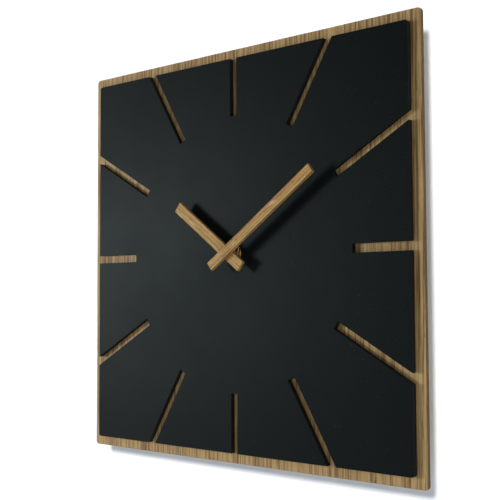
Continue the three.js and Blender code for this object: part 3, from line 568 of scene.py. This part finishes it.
def solder_mask():
    """Green circuit board: copper tracks that show paler under the mask in right angled runs."""
    made = Finish("circuit board green", roughness=0.35)
    tree = made.tree
    x, _, z = tree.parts(made.place)
    columns = tree.math("FRACT", tree.times(x, 420.0))
    rows = tree.math("FRACT", tree.times(z, 290.0))
    blocks = tree.node(
        "ShaderNodeTexVoronoi", {"distance": "CHEBYCHEV"}, {"Vector": made.place, "Scale": 320.0}
    ).outputs["Color"]
    choice = tree.math("GREATER_THAN", tree.parts(blocks)[0], 0.5)
    upright = tree.times(tree.math("GREATER_THAN", columns, 0.68), choice)
    rest = tree.math("SUBTRACT", 1.0, choice)
    level = tree.times(tree.math("GREATER_THAN", rows, 0.74), rest)
    track = tree.math("MAXIMUM", upright, level)
    weave = tree.noise(made.place, 3200.0, 2.0)
    base = tree.mix(tree.fade(weave, 0.3, 0.7), (0.010, 0.075, 0.035), (0.006, 0.055, 0.026))
    tone = tree.mix(track, base, (0.035, 0.15, 0.06))
    return made.set(base_color=tone, normal=tree.bump(track, 0.00003, 0.6)).material


def printed_sleeve():
    """The cell's shrunk plastic sleeve: plain body, a pale band towards the nub and thin rings."""
    made = Finish("cell sleeve", roughness=0.28)
    tree = made.tree
    x = tree.parts(made.place)[0]
    body = colours().sleeve[:]
    pale = tree.math("GREATER_THAN", x, 13.5 * MM)
    rings = tree.math("COMPARE", x, 12.4 * MM, 0.35 * MM)
    other = tree.math("COMPARE", x, -19.5 * MM, 0.35 * MM)
    marks = use(tree, handling_marks(), vector=made.turned((0.0, math.pi / 2, 0.0)), scale=45.0)
    tone = tree.mix(pale, body, (0.50, 0.50, 0.47))
    tone = tree.mix(tree.math("MAXIMUM", rings, other), tone, (0.62, 0.60, 0.55))
    tone = tree.mix(tree.times(marks["Scratch"], 0.4), tone, (0.5, 0.5, 0.5))
    rough = tree.math("MULTIPLY_ADD", marks["Smudge"], 0.15, 0.22)
    wrinkle = tree.noise(tree.scaled(made.place, (0.25, 1.0, 1.0)), 700.0, 2.0)
    return made.set(
        base_color=tone, roughness=rough, normal=tree.bump(wrinkle, 0.00004, 0.4)
    ).material


# ---- pieces


def dress(material, *nodes):
    """Gives parts of the frame a finish."""
    for node in nodes:
        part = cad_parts[node]
        if not part.material_slots:
            part.data.materials.append(material)
        for place in part.material_slots:
            place.material = material


def settle(name, mesh, body, slot, material, *nodes):
    """Makes a piece of a mesh, with its finish and its body, and hides the parts it stands for;
    slot is not used.
    """
    piece = bpy.data.objects.new(name, mesh)
    bpy.context.scene.collection.objects.link(piece)
    mesh.materials.append(material)
    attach(piece, body)
    if nodes:
        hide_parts(*nodes)
    return piece


def face_values(mesh, name):
    """A vector for each face of a mesh, such as its normal, as rows."""
    values = np.empty(len(mesh.polygons) * 3, np.float32)
    mesh.polygons.foreach_get(name, values)
    return values.reshape(-1, 3)


def shade_smooth(mesh, angle):
    """Smooths a mesh's shading where its faces meet flatter than an angle."""
    mesh.polygons.foreach_set("use_smooth", np.ones(len(mesh.polygons), bool))
    mesh.set_sharp_from_angle(angle=angle)


def merged_copy(node, name):
    """A copy of a part with shared corners and whole flat faces."""
    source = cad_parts[node].data
    places = np.empty(len(source.vertices) * 3, np.float32)
    source.vertices.foreach_get("co", places)
    corners = np.empty(len(source.polygons) * 3, np.int32)
    source.polygons.foreach_get("vertices", corners)
    keys, index = np.unique(np.round(places.reshape(-1, 3), 7), axis=0, return_inverse=True)
    faces = index.reshape(-1)[corners].reshape(-1, 3)
    whole = (faces != np.roll(faces, -1, 1)).all(1)
    mesh = bpy.data.meshes.new(name)
    mesh.from_pydata(keys, [], faces[whole])
    work = bmesh.new()
    work.from_mesh(mesh)
    bmesh.ops.dissolve_limit(work, angle_limit=FLAT_ANGLE, verts=work.verts, edges=work.edges)
    work.to_mesh(mesh)
    work.free()
    return mesh


def softened(node, name, body, slot, material, width, segments=2, edge_material=None, band=None):
    """A copy of a part with rounded edges.

    edge_material finishes the faces at right angles to the front, and band the rounded edges.
    """
    mesh = merged_copy(node, name)
    piece = settle(name, mesh, body, slot, material, node)
    if edge_material is not None:
        mesh.materials.append(edge_material)
        sides = (np.abs(face_values(mesh, "normal")[:, 1]) < 0.5).astype(np.int32)
        mesh.polygons.foreach_set("material_index", sides)
    shade_smooth(mesh, SHARP_ANGLE)
    bevel = piece.modifiers.new("rounded edges", "BEVEL")
    bevel.width = width
    bevel.segments = segments
    bevel.limit_method = "ANGLE"
    bevel.angle_limit = SHARP_ANGLE
    bevel.harden_normals = True
    if band is not None:
        mesh.materials.append(band)
        bevel.material = len(mesh.materials) - 1
    bevel.use_clamp_overlap = True
    return piece


def grid_mesh(name, points, closed_rows=True):
    """A mesh over a grid of points [row, column, xyz]: columns wrap round, rows wrap if closed."""
    rows, columns = points.shape[:2]
    last = rows if closed_rows else rows - 1
    row, column = np.meshgrid(np.arange(last), np.arange(columns), indexing="ij")
    after = (row + 1) % rows
    beside = (column + 1) % columns
    corners = [
        row * columns + column,
        row * columns + beside,
        after * columns + beside,
        after * columns + column,
    ]
    mesh = bpy.data.meshes.new(name)
    mesh.from_pydata(points.reshape(-1, 3), [], np.stack(corners, -1).reshape(-1, 4))
    work = bmesh.new()
    work.from_mesh(mesh)
    bmesh.ops.remove_doubles(work, verts=work.verts, dist=SAME_PLACE)
    bmesh.ops.recalc_face_normals(work, faces=work.faces)
    work.to_mesh(mesh)
    work.free()
    shade_smooth(mesh, CREASE_ANGLE)
    return mesh


def revolved(name, profile, steps=96, reshape=None, closed=True):
    """A profile of [radius, y] rows carried round the Y axis.

    A point at the angle a is x = r sin a, z = r cos a. reshape may change the radii, as a function
    of the radii, the y places and the angles.
    """
    profile = np.asarray(profile, float)
    angle = np.linspace(0, TURN, steps, endpoint=False)[None, :]
    radius = np.repeat(profile[:, :1], steps, 1)
    y = np.repeat(profile[:, 1:], steps, 1)
    if reshape is not None:
        radius = reshape(radius, y, angle)
    points = np.stack([radius * np.sin(angle), y, radius * np.cos(angle)], -1)
    return grid_mesh(name, points, closed)


def rounded_ring(inner, outer, front, back, edge):
    """The section of a ring with quarter round corners: four arcs joined by straight sides."""
    quarter = np.linspace(0, np.pi / 2, 5)
    rows = []
    for centre_r, centre_y, start in (
        (outer - edge, front + edge, -np.pi / 2),
        (outer - edge, back - edge, 0.0),
        (inner + edge, back - edge, np.pi / 2),
        (inner + edge, front + edge, np.pi),
    ):
        turn = start + quarter
        rows.append(np.stack([centre_r + edge * np.cos(turn), centre_y + edge * np.sin(turn)], -1))
    return np.concatenate(rows)


class CLOCK_OT_face(bpy.types.Operator):
    """Make the oak board and the slotted black dial plate"""

    bl_idname = "clock.face"
    bl_label = "Board and dial"

    def execute(self, context):
        board = oak(
            "board oak",
            colours().board_light,
            colours().board_dark,
            rotation=(0.0, 0.0, 0.0),
            location=(0.043, 0.0, 0.02),
            ring=4.2 * MM,
            squeeze=1.0,
            fleck=0.15,
        )
        burnt = burnt_oak("board cut edge", (0.17, 0.105, 0.048), (0.075, 0.042, 0.019))
        softened(
            "back_board", "oak_board", "clock", "oak_board", board, shapes().board_edge,
            edge_material=burnt, band=burnt,
        )
        softened(
            "dial_plate", "dial_face", "clock", "dial_black", black_lacquer(),
            shapes().dial_edge, edge_material=cut_edge(),
        )
        return {"FINISHED"}


class CLOCK_OT_hands(bpy.types.Operator):
    """Make the two oak bar hands and finish their brass sockets"""

    bl_idname = "clock.hands"
    bl_label = "Hands"

    def execute(self, context):
        burnt = burnt_oak("hand burnt edge", (0.13, 0.066, 0.024), (0.055, 0.027, 0.010))
        for node, piece, body, shift in (
            ("hour_hand", "oak_hour_bar", "hour_set", (0.0021, 0.0, 0.03)),
            ("minute_hand", "oak_minute_bar", "minute_set", (-0.0012, 0.004, 0.11)),
        ):
            wood = oak(
                piece.replace("_", " "),
                colours().hand_light,
                colours().hand_dark,
                rotation=(0.0, -bar_turn(node), 0.0),
                location=shift,
                ring=3.4 * MM,
                squeeze=3.0,
                fleck=0.55,
            )
            softened(node, piece, body, "oak_hands", wood, shapes().hand_edge, 3, band=burnt)
        dress(turned_brass(), "hour_hand_bush", "minute_hand_bush")
        return {"FINISHED"}


class CLOCK_OT_neck(bpy.types.Operator):
    """Make the threaded neck, the nut, the washers and the hanger"""

    bl_idname = "clock.neck"
    bl_label = "Neck, nut and hanger"

    def execute(self, context):
        brass = turned_brass()
        self.threaded_neck(brass)
        self.chamfered_nut(brass)
        for node, name, slot, material, edge in (
            ("nut_washer", "dial_washer", "brass_parts", brass, 0.12 * MM),
            ("rubber_washer", "soft_washer", "rubber_washer", black_rubber(), 0.3 * MM),
        ):
            ring = rounded_ring(SHAFT_HOLE, high(node).x, low(node).y, high(node).y, edge)
            settle(name, revolved(name, ring), "clock", slot, material, node)
        zinc = metal("zinc plated sheet", (0.60, 0.61, 0.62), (0.42, 0.43, 0.44), 0.42, 2200.0)
        softened("hanger_plate", "hanger_sheet", "clock", "zinc_steel", zinc, shapes().sheet_edge)
        return {"FINISHED"}

    def threaded_neck(self, brass):
        """A tube whose outer radius falls by a triangle wave of y / pitch + angle / turn."""
        front, back = low("threaded_bush").y, high("threaded_bush").y
        bore, outer, flange = 2.8 * MM, 4 * MM, high("threaded_bush").x
        shoulder = back - 0.8 * MM  # the front of the flange
        pitch, depth = shapes().thread_pitch, shapes().thread_depth
        y = np.arange(front, shoulder, pitch / 8)
        y[-1] = shoulder
        wall = np.stack([np.full(len(y), outer), y], -1)
        ends = np.array([[flange, shoulder], [flange, back], [bore, back], [bore, front]])

        def cut_thread(radius, place, angle):
            wave = np.abs(2 * np.mod(place / pitch + angle / TURN, 1) - 1)
            run_out = np.clip((shoulder - place) / (1.5 * MM), 0, 1)
            run_in = np.clip((place - front) / pitch, 0, 1)
            lead = 0.3 * MM * np.clip(1 - (place - front) / (0.4 * MM), 0, 1)
            cut = radius - depth * wave * run_out * run_in - lead
            return np.where(np.isclose(radius, outer), cut, radius)

        mesh = revolved("threaded_neck", np.concatenate([wall, ends]), 72, cut_thread)
        settle("threaded_neck", mesh, "clock", "brass_parts", brass, "threaded_bush")

    def chamfered_nut(self, brass):
        """A hexagon cut by a cone at each face.

        The hexagon's radius is apothem / cos(angle from the middle of a flat).
        """
        front, back = low("hex_nut").y, high("hex_nut").y
        apothem = shapes().nut_flats / 2
        bore, slope = 4.1 * MM, 1.75
        y = np.linspace(front, back, 25)
        side = np.stack([np.full(len(y), 2 * apothem), y], -1)
        face = 0.95 * apothem
        front_face = np.array([[bore, front + 0.3 * MM], [bore + 0.3 * MM, front], [face, front]])
        back_face = np.array([[face, back], [bore + 0.3 * MM, back], [bore, back - 0.3 * MM]])

        def hexagon(radius, place, angle):
            flat = apothem / np.cos(np.mod(angle, np.pi / 3) - np.pi / 6)
            cone = face + slope * np.minimum(place - front, back - place)
            return np.where(radius > 1.5 * apothem, np.minimum(flat, cone), radius)

        profile = np.concatenate([front_face, side, back_face])
        mesh = revolved("chamfered_nut", profile, 144, hexagon)
        settle("chamfered_nut", mesh, "clock", "brass_parts", brass, "hex_nut")


class CLOCK_OT_shells(bpy.types.Operator):
    """Make the movement's moulded case and cover"""

    bl_idname = "clock.shells"
    bl_label = "Movement case"

    def execute(self, context):
        plastic = moulded("case black plastic", colours().case, 0.46, 1700.0)
        width = shapes().case_edge
        softened("movement_case", "moulded_case", "clock", "case_plastic", plastic, width)
        cover = softened("back_cover", "moulded_cover", "clock", "case_plastic", plastic, 0.12 * MM)
        self.fill_marks(cover.data, moulded("mark paint", (0.62, 0.62, 0.60), 0.55, 1900.0))
        return {"FINISHED"}

    def fill_marks(self, mesh, paint):
        """Paints the floors of the marks that are sunk just below the cover's back."""
        mesh.materials.append(paint)
        depth = high("back_cover").y - face_values(mesh, "center")[:, 1]
        floor = face_values(mesh, "normal")[:, 1] > 0.9
        sunk = floor & (depth > 0.2 * MM) & (depth < 0.4 * MM)
        mesh.polygons.foreach_set("material_index", sunk.astype(np.int32))


class CLOCK_OT_wheels(bpy.types.Operator):
    """Finish the plates, the arbor, the wheels and the setting knob"""

    bl_idname = "clock.wheels"
    bl_label = "Wheels and plates"

    def execute(self, context):
        natural = moulded("natural plastic", colours().wheel, 0.42, 2400.0, 0.08)
        dress(natural, "train_plate", "train_bridge", "coil_bobbin", "rotor_pinion", "hour_wheel")
        tint = moulded("wheel plastic", (0.66, 0.62, 0.50), 0.38, 3000.0, 0.1)
        dress(tint, "center_wheel", "third_wheel", "second_wheel")
        dress(tint, "intermediate_wheel", "minute_wheel")
        dress(moulded("knob plastic", (0.70, 0.69, 0.64), 0.45, 2100.0, 0.1), "setting_knob")
        bright = metal("bright steel", (0.66, 0.66, 0.67), (0.48, 0.48, 0.50), 0.25, 4000.0)
        dress(bright, "minute_arbor", "clutch_washer", "quartz_crystal")
        return {"FINISHED"}


class CLOCK_OT_motor(bpy.types.Operator):
    """Wind the coil and finish the stator, the core and the rotor's magnet"""

    bl_idname = "clock.motor"
    bl_label = "Motor"

    def execute(self, context):
        iron = metal("stamped iron", (0.42, 0.43, 0.44), (0.28, 0.29, 0.30), 0.4, 2600.0)
        dress(iron, "stator", "coil_core")
        magnet = metal("sintered magnet", (0.16, 0.16, 0.17), (0.09, 0.09, 0.10), 0.5, 1500.0)
        dress(magnet, "rotor_magnet")
        self.winding()
        return {"FINISHED"}

    def winding(self):
        """A tube along Z ribbed by the wire.

        Its radius is outer - pitch / 4 * (1 - |sin(pi z / pitch)|).
        """
        centre = middle("coil_winding")
        bottom, top = low("coil_winding").z, high("coil_winding").z
        outer = high("coil_winding").x - centre.x
        pitch = shapes().wire_pitch
        z = np.arange(bottom, top, pitch / 4)
        z[-1] = top
        radius = outer - 0.25 * pitch * (1 - np.abs(np.sin(np.pi * (z - bottom) / pitch)))
        bore, steps = 1.8 * MM, 40
        rows = np.concatenate([np.stack([radius, z], -1), [[bore, top], [bore, bottom]]])
        angle = np.linspace(0, TURN, steps, endpoint=False)[None, :]
        points = np.stack(
            [
                centre.x + rows[:, :1] * np.cos(angle),
                centre.y + rows[:, :1] * np.sin(angle),
                np.repeat(rows[:, 1:], steps, 1),
            ],
            -1,
        )
        mesh = grid_mesh("wound_coil", points)
        settle("wound_coil", mesh, "clock", "copper_wire", enamelled_copper(), "coil_winding")


class CLOCK_OT_electronics(bpy.types.Operator):
    """Finish the circuit board, its chip cover and the contact strips"""

    bl_idname = "clock.electronics"
    bl_label = "Electronics"

    def execute(self, context):
        dress(solder_mask(), "circuit_board")
        dress(moulded("black epoxy", (0.008, 0.008, 0.008), 0.3, 900.0), "ic_cover")
        spring = metal("contact strip", (0.68, 0.67, 0.63), (0.50, 0.49, 0.46), 0.3, 3500.0)
        dress(spring, "contact_positive", "contact_negative")
        return {"FINISHED"}


class CLOCK_OT_cell(bpy.types.Operator):
    """Make the cell: a steel can in a shrunk sleeve whose ends roll over the can"""

    bl_idname = "clock.cell"
    bl_label = "Cell"

    def execute(self, context):
        lengthwise = (0.0, math.pi / 2, 0.0)
        steel = metal(
            "cell steel", (0.66, 0.66, 0.65), (0.50, 0.50, 0.50), 0.28, 3200.0, lengthwise
        )
        radius = high("battery_can").z - middle("battery_can").z
        left, right = low("battery_can").x, high("battery_can").x
        wrap = 0.12 * MM
        can = [
            (0.0, left + 0.15 * MM),
            (radius - 2.6 * MM, left + 0.15 * MM),
            (radius - 2.2 * MM, left),
            (radius - 1.3 * MM, left),
            (radius - wrap, left + 1.1 * MM),
            (radius - wrap, right - 1.2 * MM),
            (radius - 1.0 * MM, right - 0.2 * MM),
            (radius - 1.6 * MM, right),
            (0.0, right),
        ]
        self.lay("cell_can", can, steel, "bright_steel", False)
        roll = 0.9 * MM  # radius of the sleeve's rolled ends
        quarter = np.linspace(0, np.pi / 2, 7)
        sleeve = [
            *((radius - roll * (1 - np.sin(a)), left + roll * (1 - np.cos(a))) for a in quarter),
            *((radius - roll * (1 - np.cos(a)), right - roll * (1 - np.sin(a))) for a in quarter),
            (radius - 1.2 * MM, right - 0.02 * MM),
            (radius - wrap, right - 1.15 * MM),
            (radius - wrap, left + 1.15 * MM),
            (radius - 1.2 * MM, left + 0.02 * MM),
        ]
        piece = self.lay("cell_sleeve", sleeve, printed_sleeve(), "cell_sleeve", True)
        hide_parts("battery_can")
        dress(steel, "battery_cap")
        return {"FINISHED"}

    def lay(self, name, profile, material, slot, closed):
        """Turns a profile of (radius, x) rows about the cell's own axis, which is parallel to X."""
        mesh = revolved(name, profile, 72, None, closed)
        centre = middle("battery_can")
        place = Matrix.Translation(Vector((0, centre.y, centre.z)))
        mesh.transform(place @ Matrix.Rotation(-math.pi / 2, 4, "Z"))
        return settle(name, mesh, "cell", slot, material)


# ---- stage


def seen_white(tree, level, behind=None):
    """1 for camera, glossy and transmission rays, and 0 for the rest, times level."""
    path = tree.node("ShaderNodeLightPath").outputs
    glossy = path["Is Glossy Ray"]
    if behind is not None:
        glossy = tree.times(glossy, behind)
    seen = tree.math("MAXIMUM", path["Is Camera Ray"], path["Is Transmission Ray"])
    return tree.times(tree.math("MAXIMUM", seen, glossy), level)


def pale_surface(name, tone, glow):
    """A pale plaster that glows a little where it is seen.

    It is clear from behind, and it casts no shadow.
    """
    material = bpy.data.materials.new(name)
    material.use_nodes = True
    tree = Tree(material.node_tree)
    shader = material.node_tree.nodes["Principled BSDF"]
    shader.inputs["Roughness"].default_value = 0.9
    shader.inputs["Specular IOR Level"].default_value = 0.0
    place = tree.node("ShaderNodeTexCoord").outputs["Object"]
    grain = tree.noise(place, 700.0, 3.0)
    darker = tuple(0.985 * channel for channel in tone)
    tree.feed(shader.inputs["Base Color"], tree.mix(grain, tone, darker))
    tree.feed(shader.inputs["Emission Color"], (0.70, 0.86, 1.0))
    tree.feed(shader.inputs["Emission Strength"], seen_white(tree, glow))
    behind = tree.node("ShaderNodeNewGeometry").outputs["Backfacing"]
    shadow = tree.node("ShaderNodeLightPath").outputs["Is Shadow Ray"]
    clear = tree.node("ShaderNodeBsdfTransparent").outputs[0]
    unseen = tree.math("MAXIMUM", behind, shadow)
    shown = tree.node("ShaderNodeMixShader", None, {0: unseen, 1: shader.outputs[0], 2: clear})
    out = material.node_tree.nodes["Material Output"]
    material.node_tree.links.new(shown.outputs[0], out.inputs["Surface"])
    return material


def sheet(name, corners, material):
    """A flat four cornered sheet."""
    mesh = bpy.data.meshes.new(name)
    mesh.from_pydata(corners, [], [(0, 1, 2, 3)])
    mesh.materials.append(material)
    made = bpy.data.objects.new(name, mesh)
    bpy.context.scene.collection.objects.link(made)
    return made


def lamp(name, place, size, level):
    """A square lamp that gives level times plain light at the origin.

    Its power is pi squared times the square of the distance times level.
    """
    place = Vector(place)
    data = bpy.data.lights.new(name, "AREA")
    data.size = size
    data.energy = math.pi**2 * place.length_squared * level
    made = bpy.data.objects.new(name, data)
    made.location = place
    made.rotation_euler = (-place).to_track_quat("-Z", "Y").to_euler()
    bpy.context.scene.collection.objects.link(made)
    return made


class CLOCK_OT_stage(bpy.types.Operator):
    """Set the camera, the lamps, the wall, the floor and the room"""

    bl_idname = "clock.stage"
    bl_label = "Stage"

    def execute(self, context):
        context.scene.view_settings.view_transform = "Standard"
        self.camera(context)
        self.room(context)
        settings = stage()
        wall = pale_surface("wall paint", (0.63, 0.66, 0.70), settings.wall_glow)
        floor = pale_surface("floor paint", (0.78, 0.78, 0.78), settings.floor_glow)
        y, reach, down, up = WALL_GAP, 3.0, -1.4, 2.6
        foot = [(-reach, y, down), (reach, y, down)]
        head = [(reach, y, up), (-reach, y, up)]
        front = [(-reach, -reach, down), (reach, -reach, down)]
        backdrop = [
            sheet("wall", foot + head, wall),
            sheet("floor", front + foot[::-1], floor),
        ]
        key = lamp("key lamp", settings.key_at, settings.key_size, settings.key_level)
        lamp("rear lamp", (-0.9, 1.6, 0.9), size=0.8, level=0.5)
        self.wall_light(key, backdrop)
        return {"FINISHED"}

    def wall_light(self, key, backdrop):
        """A sun for the wall and floor alone, steep enough for a narrow shadow of the board."""
        seen = bpy.data.collections.new("wall and floor")
        spared = bpy.data.collections.new("spared by the key lamp")
        for piece in backdrop:
            seen.objects.link(piece)
            spared.objects.link(piece)
        for held in spared.collection_objects:
            held.light_linking.link_state = "EXCLUDE"
        key.light_linking.receiver_collection = spared
        data = bpy.data.lights.new("wall light", "SUN")
        data.energy = math.pi * stage().wall_level
        data.angle = SUN_SPREAD
        sun = bpy.data.objects.new("wall light", data)
        sun.rotation_euler = SUN_HEADING.to_track_quat("-Z", "Y").to_euler()
        bpy.context.scene.collection.objects.link(sun)
        sun.light_linking.receiver_collection = seen

    def camera(self, context):
        """Looks along the heading and pitch, then rolls."""
        settings = stage()
        heading, pitch, roll = settings.camera_turn
        forward = Vector(
            (
                -math.sin(heading) * math.cos(pitch),
                math.cos(heading) * math.cos(pitch),
                math.sin(pitch),
            )
        )
        level = Vector((math.cos(heading), math.sin(heading), 0))
        above = level.cross(forward)
        right = level * math.cos(roll) + above * math.sin(roll)
        up = above * math.cos(roll) - level * math.sin(roll)
        data = bpy.data.cameras.new("camera")
        data.sensor_width = 36.0
        data.lens = settings.lens
        data.clip_start = 0.01
        camera = bpy.data.objects.new("camera", data)
        turn = Matrix((right, up, -forward)).transposed()
        camera.matrix_world = Matrix.Translation(Vector(settings.camera_at)) @ turn.to_4x4()
        context.scene.collection.objects.link(camera)
        context.scene.camera = camera

    def room(self, context):
        """A dim even room that the camera sees as white.

        Polished metal sees it as white too, behind the wall and at the right.
        """
        world = bpy.data.worlds.new("room")
        world.use_nodes = True
        context.scene.world = world
        tree = Tree(world.node_tree)
        direction = tree.node("ShaderNodeTexCoord").outputs["Generated"]
        across, depth, _ = tree.parts(direction)
        behind = tree.math("GREATER_THAN", depth, 0.0)
        right = tree.math("GREATER_THAN", across, 0.3)
        white = seen_white(tree, 1.0, tree.math("MAXIMUM", behind, right))
        feeds = {0: white, 3: stage().room_level, 4: 1.0}
        strength = tree.node("ShaderNodeMapRange", None, feeds).outputs[0]
        background = world.node_tree.nodes["Background"]
        background.inputs["Color"].default_value = (1.0, 1.0, 1.0, 1.0)
        tree.feed(background.inputs["Strength"], strength)


# ---- panel and run

STEPS = (
    CLOCK_OT_stage,
    CLOCK_OT_face,
    CLOCK_OT_hands,
    CLOCK_OT_neck,
    CLOCK_OT_shells,
    CLOCK_OT_wheels,
    CLOCK_OT_motor,
    CLOCK_OT_electronics,
    CLOCK_OT_cell,
)
GROUPS = (
    (ClockShapes, "clock_shapes"),
    (ClockColours, "clock_colours"),
    (ClockStage, "clock_stage"),
)


class CLOCK_PT_panel(bpy.types.Panel):
    """Lists the clock's sizes, colours and steps"""

    bl_label = "Wall Clock"
    bl_space_type = "VIEW_3D"
    bl_region_type = "UI"
    bl_category = "Wall Clock"

    def draw(self, context):
        for group, attribute in GROUPS:
            box = self.layout.box()
            for name in group.__annotations__:
                box.prop(getattr(context.scene, attribute), name)
        for step in STEPS:
            self.layout.operator(step.bl_idname)


def register():
    for group, attribute in GROUPS:
        bpy.utils.register_class(group)
        setattr(bpy.types.Scene, attribute, bpy.props.PointerProperty(type=group))
    for step in (*STEPS, CLOCK_PT_panel):
        bpy.utils.register_class(step)


def unregister():
    for step in reversed((*STEPS, CLOCK_PT_panel)):
        bpy.utils.unregister_class(step)
    for group, attribute in reversed(GROUPS):
        delattr(bpy.types.Scene, attribute)
        bpy.utils.unregister_class(group)


def main():
    """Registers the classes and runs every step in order."""
    register()
    for step in STEPS:
        group, name = step.bl_idname.split(".")
        getattr(getattr(bpy.ops, group), name)()


if __name__ == "__main__":
    main()
